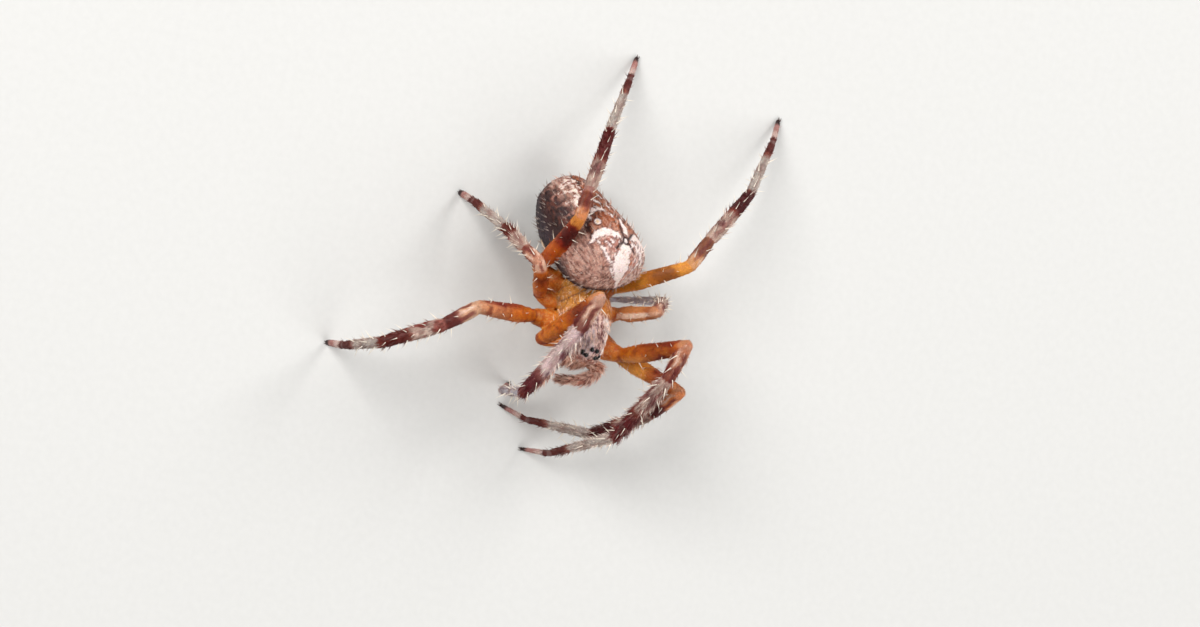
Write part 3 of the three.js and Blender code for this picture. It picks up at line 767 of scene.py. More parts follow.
class Places:
    """Where points of the skin are on the spider: segment, share along it and turn."""

    def __init__(self, points, parts):
        count = len(points)
        self.points = points
        self.segment = np.full(count, -1)
        self.t, self.around = np.zeros(count), np.zeros(count)
        best = np.full(count, 1e9)
        for number, segment in enumerate(SEGMENTS):
            mine = np.flatnonzero(parts == FLESH.index(segment.node))
            if not len(mine):
                continue
            t, around, distance = segment.place(points[mine])
            away = np.abs(distance - segment.radius(t))
            closer = away < best[mine]
            picked = mine[closer]
            best[picked] = away[closer]
            self.segment[picked] = number
            self.t[picked], self.around[picked] = t[closer], around[closer]
        rear = np.isin(parts, [FLESH.index(n) for n in REAR_PARTS])
        self.rear = rear & (self.segment < 0)
        self.front = ~rear & (self.segment < 0)

    def each(self):
        """Each segment that has points here, and which of them are on it."""
        for number, segment in enumerate(SEGMENTS):
            mine = self.segment == number
            if mine.any():
                yield segment, mine

    def colours(self):
        colour = np.zeros((len(self.points), 3))
        if self.rear.any():
            colour[self.rear] = abdomen_colours(self.points[self.rear])
        if self.front.any():
            colour[self.front] = front_colours(self.points[self.front])
        for segment, mine in self.each():
            points, t = self.points[mine], self.t[mine]
            if segment.limb.startswith("leg"):
                colour[mine] = leg_colours(segment.kind, t, self.around[mine], points,
                                           segment.limb)
            else:
                colour[mine] = palp_colours(segment.kind, t, points)
        return colour

    def lie(self):
        """The way the hairs lie: down the limbs, forwards on the head, back behind."""
        way = np.zeros((len(self.points), 3))
        for segment, mine in self.each():
            way[mine] = segment.axis
        way[self.rear] = REAR @ np.array((0, 1, -0.15))
        way[self.front] = FRONT @ np.array((0, -1, -0.1))
        return way

    def unwrap(self):
        """A place from 0 to 1 each way on the unrolled skin of a piece."""
        uv = np.zeros((len(self.points), 2))
        for segment, mine in self.each():
            uv[mine, 0] = self.around[mine] / (2 * np.pi) + 0.5
            uv[mine, 1] = ((segment.before + self.t[mine] * segment.length)
                           / LIMB_LENGTHS[segment.limb])
        local, around, _, _ = abdomen_map(self.points[self.rear])
        uv[self.rear, 0] = around / (2 * np.pi) + 0.5
        uv[self.rear, 1] = (local[:, 1] + 5.0) / 10.0
        local = from_front_body(self.points[self.front])
        uv[self.front, 0] = np.arctan2(local[:, 0], local[:, 2]) / (2 * np.pi) + 0.5
        uv[self.front, 1] = (local[:, 1] + 6.5) / 8.0
        return uv


# ------------------------------------------------------------------ materials

def node(tree, kind, links=(), **settings):
    """Adds a node with its settings and links.

    Each link is a source, which is a socket or a node that stands for its first output,
    and the name or number of the input.
    """
    made = tree.nodes.new(kind)
    for name, value in settings.items():
        if name in made.inputs:
            made.inputs[name].default_value = value
        else:
            setattr(made, name, value)
    for source, target in links:
        if isinstance(target, str):
            target = next(k for k, s in enumerate(made.inputs)
                          if s.enabled and s.name == target)
        source = source.outputs[0] if isinstance(source, bpy.types.Node) else source
        tree.links.new(source, made.inputs[target])
    return made


def material_of(name, build):
    """A material by name, made the first time: build adds its nodes, gives the shader."""
    material = bpy.data.materials.get(name)
    if material is None:
        material = bpy.data.materials.new(name)
        material.use_nodes = True
        tree = material.node_tree
        tree.nodes.clear()
        node(tree, "ShaderNodeOutputMaterial", [(build(tree), "Surface")])
    return material


def shaded_material(name, **shader):
    """A material in the colours that the piece's points carry."""
    def build(tree):
        shade = node(tree, "ShaderNodeAttribute", attribute_name="shade")
        return node(tree, "ShaderNodeBsdfPrincipled",
                    [(shade, "Base Color")], **shader)
    return material_of(name, build)


def clouded_material(name, size, detail, tones, **shader):
    """A material that drifts between two tones in clouds of a size in mm."""
    def build(tree):
        place = node(tree, "ShaderNodeTexCoord")
        cloud = node(tree, "ShaderNodeTexNoise", [(place.outputs["Object"], "Vector")],
                     Scale=1 / (size * MM), Detail=detail)
        ramp = node(tree, "ShaderNodeValToRGB", [(cloud, "Fac")])
        for stop, tone in zip(ramp.color_ramp.elements, tones):
            stop.color = (*linear(tone), 1)
        return node(tree, "ShaderNodeBsdfPrincipled",
                    [(ramp, "Base Color")], **shader)
    return material_of(name, build)


def cuticle_material():
    """Living cuticle: chitin over flesh, finely wrinkled and granular, softly glossy."""
    def build(tree):
        place = node(tree, "ShaderNodeTexCoord")
        shade = node(tree, "ShaderNodeAttribute", attribute_name="shade")
        # grains 0.07 mm across, as coarse as they need to be to show
        grains = node(tree, "ShaderNodeTexNoise", [(place.outputs["Object"], "Vector")],
                      Scale=1 / (0.07 * MM), Detail=3.0, Roughness=0.6)
        # folds 0.35 mm apart
        folds = node(tree, "ShaderNodeTexNoise", [(place.outputs["Object"], "Vector")],
                     Scale=1 / (0.35 * MM), Detail=2.0, Roughness=0.5)
        tone = node(tree, "ShaderNodeMapRange", [(grains, "Value")],
                    **{"From Min": 0.3, "From Max": 0.7, "To Min": 0.72, "To Max": 1.25})
        colour = node(tree, "ShaderNodeVectorMath",
                      [(shade, 0), (tone, 1)],
                      operation="MULTIPLY")
        gloss = node(tree, "ShaderNodeMapRange", [(folds, "Value")],
                     **{"From Min": 0.3, "From Max": 0.7, "To Min": 0.38, "To Max": 0.6})
        height = node(tree, "ShaderNodeMath", [(grains, 0),
                                               (folds, 1)], operation="ADD")
        bump = node(tree, "ShaderNodeBump", [(height, "Height")],
                    Strength=0.6, Distance=0.05 * MM)
        return node(tree, "ShaderNodeBsdfPrincipled",
                    [(colour, "Base Color"), (bump, "Normal"),
                     (gloss, "Roughness")], IOR=1.5,
                    **{"Specular IOR Level": 0.3, "Subsurface Weight": 0.2,
                       "Subsurface Scale": 0.4 * MM, "Subsurface Radius": (1.0, 0.4, 0.2)})
    return material_of("spider_cuticle", build)


def seta_material():
    """Setae: hollow chitin hairs that scatter light, so the coat is silky, not shiny."""
    return shaded_material("spider_seta", Roughness=0.5, IOR=1.55,
                           **{"Specular IOR Level": 0.15})


def spine_material():
    """Spines: solid ivory-coloured chitin, smooth and waxy."""
    return shaded_material("spider_spine", Roughness=0.32, IOR=1.55)


def lens_material():
    """Eye lens: clear polished cuticle over black pigment, so it reads as wet black."""
    return clouded_material("spider_eye_lens", 0.2, 1.0, ("#010101", "#060303"),
                            Roughness=0.05, IOR=1.5, **{"Specular IOR Level": 0.5})


def horn_material():
    """Fang and claw: thick tanned chitin, dark red brown and polished by use."""
    return clouded_material("spider_fang", 0.25, 2.0, ("#14060a", "#4a1c12"),
                            Roughness=0.22, IOR=1.56)


def paper_material():
    """Backdrop paper: matt and pale, with a faint tooth."""
    return clouded_material("studio_paper", 0.5, 2.0, ("#cbcac7", "#d1d0cd"),
                            Roughness=0.9)


# ------------------------------------------------------------------ bristles

# How a tuft's second hair stands to its first, in lengths and radians.
PARTNER_PLACE = {"Translation": (0.0, 0.06, 0.0), "Rotation": (-0.34, 0.16, 0.5),
                 "Scale": (0.8, 0.8, 0.72)}
# The side of a bristle's patch on the unrolled skin, as a share of it.
BAKE_PATCH = 0.003


def bristle_tree(name, sides, steps, partner):
    """A Geometry Nodes tree that grows a bristle, or a tuft of two, from each vertex.

    The vertices carry reach, outward, length, shade and root_uv.
    """
    tree = bpy.data.node_groups.get(name)
    if tree:
        return tree
    tree = bpy.data.node_groups.new(name, "GeometryNodeTree")
    for title, kind in (("Geometry", "Geometry"), ("Slimness", "Float"), ("Curl", "Float"),
                        ("Patch", "Float"), ("Material", "Material")):
        tree.interface.new_socket(title, in_out="INPUT", socket_type="NodeSocket" + kind)
    tree.interface.new_socket("Geometry", in_out="OUTPUT", socket_type="NodeSocketGeometry")
    given = node(tree, "NodeGroupInput")

    def read(attribute, data_type):
        found = node(tree, "GeometryNodeInputNamedAttribute", data_type=data_type,
                     Name=attribute)
        return next(s for s in found.outputs if s.enabled and s.name == "Attribute")

    # one upright bristle, bent over more and more towards its tip
    cone = node(tree, "GeometryNodeMeshCone",
                [(given.outputs["Slimness"], "Radius Bottom")], Vertices=sides, Depth=1.0,
                **{"Side Segments": steps, "Radius Top": 0.0})
    marked = node(tree, "GeometryNodeStoreNamedAttribute",
                  [(cone, "Geometry"), (cone.outputs["UV Map"], "Value")],
                  domain="CORNER", data_type="FLOAT2", Name="blade_uv")
    place = node(tree, "GeometryNodeInputPosition")
    height = node(tree, "ShaderNodeSeparateXYZ", [(place, "Vector")]).outputs["Z"]
    squared = node(tree, "ShaderNodeMath", [(height, 0), (height, 1)],
                   operation="MULTIPLY")
    sag = node(tree, "ShaderNodeMath", [(squared, 0), (given.outputs["Curl"], 1)],
               operation="MULTIPLY")
    away = node(tree, "ShaderNodeMath", [(sag, 0)], operation="MULTIPLY")
    away.inputs[1].default_value = -1.0
    shift = node(tree, "ShaderNodeCombineXYZ", [(away, "X")])
    blade = node(tree, "GeometryNodeSetPosition", [(marked, "Geometry"), (shift, "Offset")])
    tuft = blade
    if partner:
        turned = node(tree, "GeometryNodeTransform", [(blade, "Geometry")], **PARTNER_PLACE)
        tuft = node(tree, "GeometryNodeJoinGeometry", [(blade, 0), (turned, 0)])

    # planted on the vertices, with its own small patch of the piece's unrolled skin
    aim = node(tree, "FunctionNodeAxesToRotation",
               [(read("reach", "FLOAT_VECTOR"), "Primary Axis"),
                (read("outward", "FLOAT_VECTOR"), "Secondary Axis")])
    planted = node(tree, "GeometryNodeInstanceOnPoints",
                   [(given, "Points"), (tuft, "Instance"), (aim, "Rotation"),
                    (read("length", "FLOAT"), "Scale")])
    grown = node(tree, "GeometryNodeRealizeInstances", [(planted, "Geometry")])
    small = node(tree, "ShaderNodeVectorMath",
                 [(read("blade_uv", "FLOAT_VECTOR"), 0), (given.outputs["Patch"], "Scale")],
                 operation="SCALE")
    corner = node(tree, "ShaderNodeVectorMath",
                  [(small, 0), (read("root_uv", "FLOAT_VECTOR"), 1)], operation="ADD")
    mapped = node(tree, "GeometryNodeStoreNamedAttribute",
                  [(grown, "Geometry"), (corner, "Value")],
                  domain="CORNER", data_type="FLOAT2", Name="OFBake")
    clean = mapped
    for attribute in ("blade_uv", "root_uv", "reach", "outward", "length"):
        clean = node(tree, "GeometryNodeRemoveAttribute", [(clean, "Geometry")],
                     Name=attribute)
    coloured = node(tree, "GeometryNodeSetMaterial",
                    [(clean, "Geometry"), (given.outputs["Material"], "Material")])
    node(tree, "NodeGroupOutput", [(coloured, 0)])
    return tree


def grow_bristles(name, roots, reach, outward, length, shade, root_uv, look,
                  slimness=0.055, curl=0.2, sides=3, steps=2, partner=True):
    """One mesh piece of bristles or tufts; roots in mm, and one entry for each."""
    mesh = new_mesh(name + "_roots", roots, [])
    flat_uv = np.column_stack([root_uv, np.zeros(len(root_uv))])
    for field, kind, values in (
            ("reach", "FLOAT_VECTOR", reach), ("outward", "FLOAT_VECTOR", outward),
            ("length", "FLOAT", length * MM), ("root_uv", "FLOAT_VECTOR", flat_uv),
            ("shade", "FLOAT_COLOR", np.clip(shade, 0, 1))):
        store(mesh, field, kind, values)
    carrier = new_piece(name + "_carrier", mesh, None)
    tree = bristle_tree(f"bristles_{sides}_{steps}_{'tuft' if partner else 'single'}",
                        sides, steps, partner)
    growth = carrier.modifiers.new("Bristles", "NODES")
    growth.node_group = tree
    sockets = {s.name: s.identifier for s in tree.interface.items_tree
               if s.in_out == "INPUT"}
    for title, value in (("Slimness", slimness), ("Curl", curl), ("Patch", BAKE_PATCH),
                         ("Material", look)):
        growth[sockets[title]] = value
    return new_piece(name, settled(carrier, name), None)


# ------------------------------------------------------------------ the skin

def skin_shell(sizes):
    """One closed surface round all the flesh, in mm."""
    parts = []
    for name in BODY_PARTS:
        corners, normals, triangles = node_arrays(name)
        parts.append((corners + normals * sizes.bridge, triangles))
    parts += [limb_surface(segment, sizes.inset) for segment in SEGMENTS
              if segment.kind != "chelicera"]
    points, faces = joined(parts)
    raw = bpy.data.meshes.new("skin_raw")
    raw.from_pydata(points.tolist(), [], faces)
    carrier = new_piece("skin_carrier", raw, None)
    remesh = carrier.modifiers.new("Remesh", "REMESH")
    remesh.mode = "VOXEL"
    remesh.voxel_size = sizes.voxel
    return settled(carrier, "skin_shell")


def arrays_of(mesh):
    return pull(mesh.vertices, "co").astype(float)


def relax(mesh, points, share, rounds):
    """Evens a surface out; share is how far each vertex gives way in a round."""
    a, b = pull(mesh.edges, "vertices", 2, np.int32).T
    count = len(points)
    degree = np.bincount(a, minlength=count) + np.bincount(b, minlength=count)
    for _ in range(rounds):
        middle = np.stack([np.bincount(a, points[b, k], count)
                           + np.bincount(b, points[a, k], count) for k in range(3)], 1)
        points = points + (middle / degree[:, None] - points) * share[:, None]
    return points


# The leg hair's length in mm that the coat's table is made for.
HAIR_LENGTH = 0.3


class SpiderSizes(bpy.types.PropertyGroup):
    voxel: FloatProperty(name="Skin grid", description="Grid size of the skin, in mm",
                         default=0.104, min=0.05, max=0.3)
    inset: FloatProperty(name="Limb inset", subtype="FACTOR", min=0.8, max=1.0,
                         description="Skin radius as a share of the solid limb's radius",
                         default=0.92)
    bridge: FloatProperty(name="Bridge", default=0.03, min=0.0, max=0.1,
                          description="Growth that closes the thin cuts of the body, in mm")
    density: FloatProperty(name="Coat density", description="Tufts for each square mm",
                           default=85.0, min=5.0, max=150.0)
    hair: FloatProperty(name="Hair length", description="Length of leg hair, in mm",
                        default=HAIR_LENGTH, min=0.05, max=1.0)
    spine: FloatProperty(name="Spine length", description="Length of leg spines, in mm",
                         default=0.75, min=0.2, max=1.5)
    seed: IntProperty(name="Seed", description="Seed of all random draws", default=SEED)


class SpiderColours(bpy.types.PropertyGroup):
    hair: FloatVectorProperty(name="Hair", description="Pale hair of the coat",
                              subtype="COLOR", min=0, max=1,
                              default=tuple(linear("#e6d3c6")))
    spine: FloatVectorProperty(name="Spine", description="Ivory leg spines",
                               subtype="COLOR", min=0, max=1,
                               default=tuple(linear("#f0e4d2")))


# How far the body gives way in a round of evening out, and for how many rounds; the
# rounds that blend this into the limbs; and the light last rounds for all of the skin.
BODY_GIVE, BODY_ROUNDS = 0.5, 34
BLEND_ROUNDS = 6
LAST_GIVE, LAST_ROUNDS = 0.4, 3


def finished(piece, nodes=()):
    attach(piece, "root")
    if nodes:
        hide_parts(*nodes)
    return piece


class SPIDER_OT_skin(bpy.types.Operator):
    """Builds the one skin over body, legs, palps and chelicerae"""
    bl_idname = "spider.skin"
    bl_label = "Skin"

    def execute(self, context):
        mesh = skin_shell(context.scene.spider_sizes)
        points = arrays_of(mesh)
        parts = nearest_parts(points)
        count = len(points)
        body = np.isin(parts, [FLESH.index(n) for n in BODY_PARTS])
        share = np.repeat(np.where(body, BODY_GIVE, 0.0)[:, None], 3, 1)
        share = relax(mesh, share, np.full(count, 0.5), BLEND_ROUNDS)[:, 0]
        points = relax(mesh, points, share, BODY_ROUNDS)
        points = relax(mesh, points, np.full(count, LAST_GIVE), LAST_ROUNDS)
        points[:, 2] = np.maximum(points[:, 2], 0.0)
        mesh.vertices.foreach_set("co", (points * MM).astype(np.float32).ravel())
        mesh.update()
        store(mesh, "part", "INT", parts)
        store(mesh, "shade", "FLOAT_COLOR", Places(points, parts).colours())
        smooth(mesh)
        piece = new_piece("skin", mesh, cuticle_material())
        finished(piece, FLESH)
        return {"FINISHED"}


# ------------------------------------------------------------------ the coat

# Tufts for each square mm as a share of the coat's density, length in mm, and lean from
# the skin in degrees; then the share of tufts that stand out, with their lean and length.
COAT = {
    "coxa": (0.45, 0.2, 16, 0.04, 45, 1.3),
    "femur": (0.6, 0.24, 16, 0.05, 45, 1.5),
    "patella": (0.8, 0.24, 16, 0.08, 46, 1.6),
    "tibia": (1.1, 0.32, 18, 0.14, 48, 1.6),
    "metatarsus": (1.1, 0.27, 18, 0.12, 48, 1.5),
    "tarsus": (1.2, 0.18, 18, 0.10, 45, 1.3),
    "palp": (2.2, 0.4, 26, 0.28, 50, 1.4),
    "chelicera": (2.2, 0.42, 28, 0.3, 48, 1.4),
    "front": (1.2, 0.34, 11, 0.04, 34, 1.2),
    "rear": (0.68, 0.27, 14, 0.045, 60, 1.7),
}


# Where the head's coat ends, along the front body, and how much of it the thorax has.
HEAD_END = -2.9
THORAX_SHARE = 0.35
# Bare skin round a lens and clear space over it, and how near the floor a tip may come,
# in mm.
HAIRLESS_RIM, EYE_SPACE = 0.1, 0.05
LOWEST_TIP = 0.08
# How the hairs differ: in the way they lie, in lean in degrees, and in length.
WAY_SPREAD, LEAN_SPREAD, LENGTHS = 0.2, 6, (0.6, 1.25)
# How bright they are beside their colour, and the pale and dark shares of the face's.
TONES, PALE_FACE_SHARE, DARK_FACE_SHARE = (0.65, 1.25), 0.38, 0.2
# How deep the roots stand in the skin, in mm.
ROOT_DEPTH = 0.01
# Half the width of the short-haired back in mm, and its hair's length beside the rest.
BACK_HALF_WIDTH, BACK_SHARE = 2.6, 0.6
# What each piece's draws add to the seed.
FACE_SEED, BODY_SEED, SPINE_SEED = 20, 30, 40


def coat_kind(place_segment, front):
    if place_segment < 0:
        return "front" if front else "rear"
    kind = SEGMENTS[place_segment].kind
    return "palp" if kind.startswith("palp") else kind


def coat_points(mesh, chosen, density, rng):
    """Random points on the faces of some parts: places, normals and parts."""
    mesh.calc_loop_triangles()
    tris = pull(mesh.loop_triangles, "vertices", 3, np.int32)
    points = arrays_of(mesh) / MM
    parts = pull(mesh.attributes["part"].data, "value", 1, np.int32)[:, 0]
    normals = pull(mesh.vertices, "normal")
    tris = tris[np.isin(parts[tris[:, 0]], chosen)]
    a, b, c = (points[tris[:, k]] for k in range(3))
    area = np.linalg.norm(np.cross(b - a, c - a), axis=1) / 2
    count = int(area.sum() * density)
    pick = np.searchsorted(np.cumsum(area) / area.sum(), rng.random(count))
    pick = np.minimum(pick, len(tris) - 1)
    u, v = rng.random(count), rng.random(count)
    over = u + v > 1
    u[over], v[over] = 1 - u[over], 1 - v[over]
    w = np.column_stack([1 - u - v, u, v])
    roots = np.einsum("nk,nkd->nd", w, points[tris[pick]])
    outward = unit(np.einsum("nk,nkd->nd", w, normals[tris[pick]]))
    return roots, outward, parts[tris[pick, 0]]


def coat_roots(skin, nodes, density, rng):
    """Where the tufts stand: roots, ways out, COAT rows and places on the spider."""
    chosen = [FLESH.index(n) for n in nodes]
    most = max(row[0] for row in COAT.values())
    roots, outward, parts = coat_points(skin.data, chosen, density * most, rng)
    places = Places(roots, parts)
    rows = np.array([COAT[coat_kind(s, f)] for s, f in zip(places.segment, places.front)])
    share = rows[:, 0] / most
    bald = places.front & (from_front_body(roots)[:, 1] > HEAD_END)
    keep = rng.random(len(roots)) < share * np.where(bald, THORAX_SHARE, 1.0)
    for centre, radius in EYE_BALLS:
        keep &= np.linalg.norm(roots - centre, axis=1) > radius + HAIRLESS_RIM
    return roots[keep], outward[keep], rows[keep], Places(roots[keep], parts[keep])


def comb(roots, outward, rows, places, bristly, scale, rng):
    """Each tuft's way and length, and whether it stands out from the coat."""
    count = len(roots)
    way = places.lie() + rng.normal(0, WAY_SPREAD, (count, 3))
    way = unit(way - outward * (way * outward).sum(1)[:, None])
    stands = rng.random(count) < rows[:, 3] * bristly
    lean = np.where(stands, rows[:, 4], rows[:, 2]) + rng.normal(0, LEAN_SPREAD, count)
    lean = np.radians(lean)
    length = rows[:, 1] * np.where(stands, rows[:, 5], 1) * rng.uniform(*LENGTHS, count)
    length *= scale
    back = np.flatnonzero(places.rear & ~stands)
    across = abdomen_map(roots[back])[2]
    length[back] *= np.where(np.abs(across) < BACK_HALF_WIDTH, BACK_SHARE, 1)
    reach = way * np.cos(lean)[:, None] + outward * np.sin(lean)[:, None]
    low = roots[:, 2] + reach[:, 2] * length < LOWEST_TIP
    reach[low, 2] = np.maximum(reach[low, 2], 0.1)
    reach = unit(reach)
    length *= np.where(low, 0.5, 1)
    for centre, radius in EYE_BALLS:
        share = np.clip(((centre - roots) * reach).sum(1), 0, length)
        gap = np.linalg.norm(roots + reach * share[:, None] - centre, axis=1)
        length *= np.where(gap < radius + EYE_SPACE, 0.35, 1)
    return reach, length, stands


def coat_shade(roots, places, limbs, paleness, stands, hair, rng):
    """The tufts' colours: the skin's own made paler, and mixed tones on the face."""
    count = len(roots)
    ground = places.colours()
    lit = step(0.1, 0.36, ground.mean(axis=1))
    grey = np.clip(ground.min(axis=1) / np.maximum(ground.max(axis=1), 1e-3) * 1.6, 0.15, 1)
    amount = (0.04 + 0.6 * lit) * grey * rng.uniform(0.3, 1.5, count)
    amount = np.where(stands, amount + 0.1 + 0.3 * lit, amount) * paleness
    amount = np.where(stands & places.rear, 0.4, amount)
    face = np.array([limb.startswith(("palp", "chelicera")) for limb in limbs])
    amount *= np.where(face, 0.5, 1)
    shade = paint(ground, hair, np.clip(amount, 0, 1))
    shade *= rng.uniform(*TONES, (count, 1))
    head = places.front & (from_front_body(roots)[:, 1] < HEAD_END)
    draw = rng.random(count)
    return layers(
        shade,
        ("#fad6c2", 0.75 * ((face | head) & (draw < PALE_FACE_SHARE))),
        ("#6e2a26", 0.75 * ((face | head) & (draw > 1 - DARK_FACE_SHARE))))


def grow_coat(name, nodes, context, rng, slimness, shift_uv=None, curl=0.2):
    """A coat of tufts over the skin of some nodes."""
    sizes, colours = context.scene.spider_sizes, context.scene.spider_colours
    skin = bpy.data.objects.get("skin")
    if skin is None:
        raise RuntimeError("the skin comes before its coat")
    roots, outward, rows, places = coat_roots(skin, nodes, sizes.density, rng)
    limbs = [SEGMENTS[s].limb if s >= 0 else "" for s in places.segment]
    bristly, paleness = np.array([LEG_LOOKS[limb][3:] if limb in LEG_LOOKS else (1.0, 1.0)
                                  for limb in limbs]).T
    reach, length, stands = comb(roots, outward, rows, places, bristly,
                                 sizes.hair / HAIR_LENGTH, rng)
    shade = coat_shade(roots, places, limbs, paleness, stands, np.array(colours.hair), rng)
    uv = places.unwrap()
    if shift_uv:
        uv = shift_uv(uv, places)
    piece = grow_bristles(name, roots - outward * ROOT_DEPTH, reach, outward, length, shade,
                          uv, seta_material(), slimness, curl)
    return finished(piece)


LEG_LIMBS = [f"leg_{side}_{k}" for side in ("right", "left") for k in (1, 2, 3, 4)]


class SPIDER_OT_leg_coats(bpy.types.Operator):
    """Grows the coat of each leg as its own piece"""
    bl_idname = "spider.leg_coats"
    bl_label = "Leg coats"

    def execute(self, context):
        for k, limb in enumerate(LEG_LIMBS):
            rng = np.random.default_rng(context.scene.spider_sizes.seed + k)
            nodes = [n for n in FLESH if n.startswith(limb)]
            grow_coat(f"coat_{limb}", nodes, context, rng, 0.06)
        return {"FINISHED"}


class SPIDER_OT_face_coat(bpy.types.Operator):
    """Grows the coat of the palps and chelicerae"""
    bl_idname = "spider.face_coat"
    bl_label = "Face coat"

    def execute(self, context):
        rng = np.random.default_rng(context.scene.spider_sizes.seed + FACE_SEED)
        limbs = ["palp_left", "palp_right", "chelicera_left", "chelicera_right"]
        nodes = [n for n in FLESH if n.startswith(("palp", "chelicera"))]

        def quarters(uv, places):
            which = np.array([limbs.index(SEGMENTS[s].limb) for s in places.segment])
            return np.column_stack([(uv[:, 0] + which) / 4, uv[:, 1]])

        grow_coat("coat_face", nodes, context, rng, 0.065, quarters,
                  curl=0.5)
        return {"FINISHED"}


class SPIDER_OT_body_coats(bpy.types.Operator):
    """Grows the coats of the front body and of the abdomen"""
    bl_idname = "spider.body_coats"
    bl_label = "Body coats"

    def execute(self, context):
        rng = np.random.default_rng(context.scene.spider_sizes.seed + BODY_SEED)
        grow_coat("coat_front_body", ["carapace", "sternum", "pedicel"],
                  context, rng, 0.08)
        grow_coat("coat_abdomen", ["abdomen", "spinnerets"], context, rng,
                  0.075)
        return {"FINISHED"}


# ------------------------------------------------------------------ spines

# Rings of spines for each kind of segment: share along it and how many round it.
SPINE_RINGS = {
    "femur": [(0.3, 3), (0.5, 3), (0.7, 4), (0.88, 3)],
    "patella": [(0.25, 2), (0.6, 3), (0.9, 2)],
    "tibia": [(0.12, 4), (0.28, 4), (0.44, 4), (0.6, 5), (0.76, 4), (0.92, 5)],
    "metatarsus": [(0.08, 4), (0.24, 4), (0.42, 3), (0.62, 3)],
}


# The turn from ring to ring in radians, lean in degrees, range of lengths, and how deep
# the root stands, as a share of the radius.
SPINE_TURN, SPINE_LEAN, SPINE_LENGTHS, SPINE_ROOT = 0.9, (48, 76), (0.75, 1.25), 0.93


class SPIDER_OT_spines(bpy.types.Operator):
    """Grows the stout pale spines of the legs"""
    bl_idname = "spider.spines"
    bl_label = "Spines"

    def execute(self, context):
        sizes, colours = context.scene.spider_sizes, context.scene.spider_colours
        rng = np.random.default_rng(sizes.seed + SPINE_SEED)
        roots, reaches, outwards, lengths, uvs = [], [], [], [], []
        for segment in SEGMENTS:
            if not segment.limb.startswith("leg"):
                continue
            offset = rng.uniform(0, 2 * np.pi)
            for share, many in SPINE_RINGS.get(segment.kind, ()):
                offset += SPINE_TURN
                for k in range(many):
                    t = share + rng.normal(0, 0.02)
                    phi = offset + 2 * np.pi * k / many + rng.normal(0, 0.15)
                    out = segment.rise * math.cos(phi) + segment.side * math.sin(phi)
                    radius = segment.radius(t) * sizes.inset
                    lean = math.radians(rng.uniform(*SPINE_LEAN))
                    roots.append(segment.centre(t) + out * radius * SPINE_ROOT)
                    reaches.append(segment.axis * math.cos(lean) + out * math.sin(lean))
                    outwards.append(out)
                    lengths.append(sizes.spine * rng.uniform(*SPINE_LENGTHS)
                                   * PAIRS[int(segment.limb[-1]) - 1]["stout"])
                    limb = (LEG_LIMBS.index(segment.limb) + phi / (2 * np.pi) % 1) / 8
                    uvs.append((limb, (segment.before + t * segment.length)
                                / LIMB_LENGTHS[segment.limb]))
        roots, reaches = np.array(roots), np.array(reaches)
        outwards, lengths = np.array(outwards), np.array(lengths)
        low = roots[:, 2] + reaches[:, 2] * lengths < 0.02
        lengths[low] = np.maximum(roots[low, 2] * 0.6, 0.05)
        shade = np.array(colours.spine) * rng.uniform(0.75, 1.05, (len(roots), 1))
        piece = grow_bristles("spines", roots, reaches, outwards, lengths, shade,
                              np.array(uvs), spine_material(), slimness=0.055, curl=0.12,
                              sides=6, steps=4, partner=False)
        finished(piece)
        return {"FINISHED"}


# ------------------------------------------------------------------ eyes, fangs, claws

def add_ball(bm, centre, radius):
    bmesh.ops.create_icosphere(bm, subdivisions=3, radius=radius * MM,
                               matrix=Matrix.Translation(Vector(centre) * MM))


class SPIDER_OT_eyes(bpy.types.Operator):
    """Makes the round lenses: four middle eyes and two pairs at the sides"""
    bl_idname = "spider.eyes"
    bl_label = "Eyes"

    def execute(self, context):
        for name, balls in EYES.items():
            bm = bmesh.new()
            for centre, radius in balls:
                add_ball(bm, centre, radius)
            mesh = bpy.data.meshes.new(name + "_lens")
            bm.to_mesh(mesh)
            bm.free()
            smooth(mesh)
            piece = new_piece(name + "_lens", mesh, lens_material())
            finished(piece, [name])
        return {"FINISHED"}


FANG_ROOT = (0.48, -5.85, -1.75)
FANG_TIP = (0.3, -5.2, -1.95)
FANG_BOW, FANG_LIFT, FANG_RADIUS = 0.22, 0.12, 0.2


class SPIDER_OT_fangs(bpy.types.Operator):
    """Makes the two curved fangs, folded in under the chelicerae"""
    bl_idname = "spider.fangs"
    bl_label = "Fangs"

    def execute(self, context):
        for side, sign in (("left", 1), ("right", -1)):
            root, tip = np.array(FANG_ROOT), np.array(FANG_TIP)
            t = np.linspace(0, 1, 15)
            line = root + (tip - root) * t[:, None]
            line[:, 2] -= FANG_BOW * np.sin(np.pi * t)
            line[:, 2] += FANG_LIFT * (1 - t)
            centres = np.array([in_front_body(p, sign) for p in line])
            radii = FANG_RADIUS * (1 - t) ** 0.75 + 0.012
            radii[0] *= 0.7
            mesh = new_mesh(f"fang_{side}_horn", *tube(centres, radii, 14))
            smooth(mesh)
            outward(mesh)
            piece = new_piece(f"fang_{side}_horn", mesh, horn_material())
            finished(piece, [f"fang_{side}"])
        return {"FINISHED"}


def outward(mesh):
    """Turns a closed mesh's faces to point out."""
    bm = bmesh.new()
    bm.from_mesh(mesh)
    bmesh.ops.recalc_face_normals(bm, faces=bm.faces)
    bm.to_mesh(mesh)
    bm.free()


# Each claw's place to the side in mm and its size beside the largest.
CLAWS = ((0.09, 1.0), (-0.09, 1.0), (0.0, 0.7))
CLAW_LENGTH, CLAW_RADIUS = 0.26, 0.035


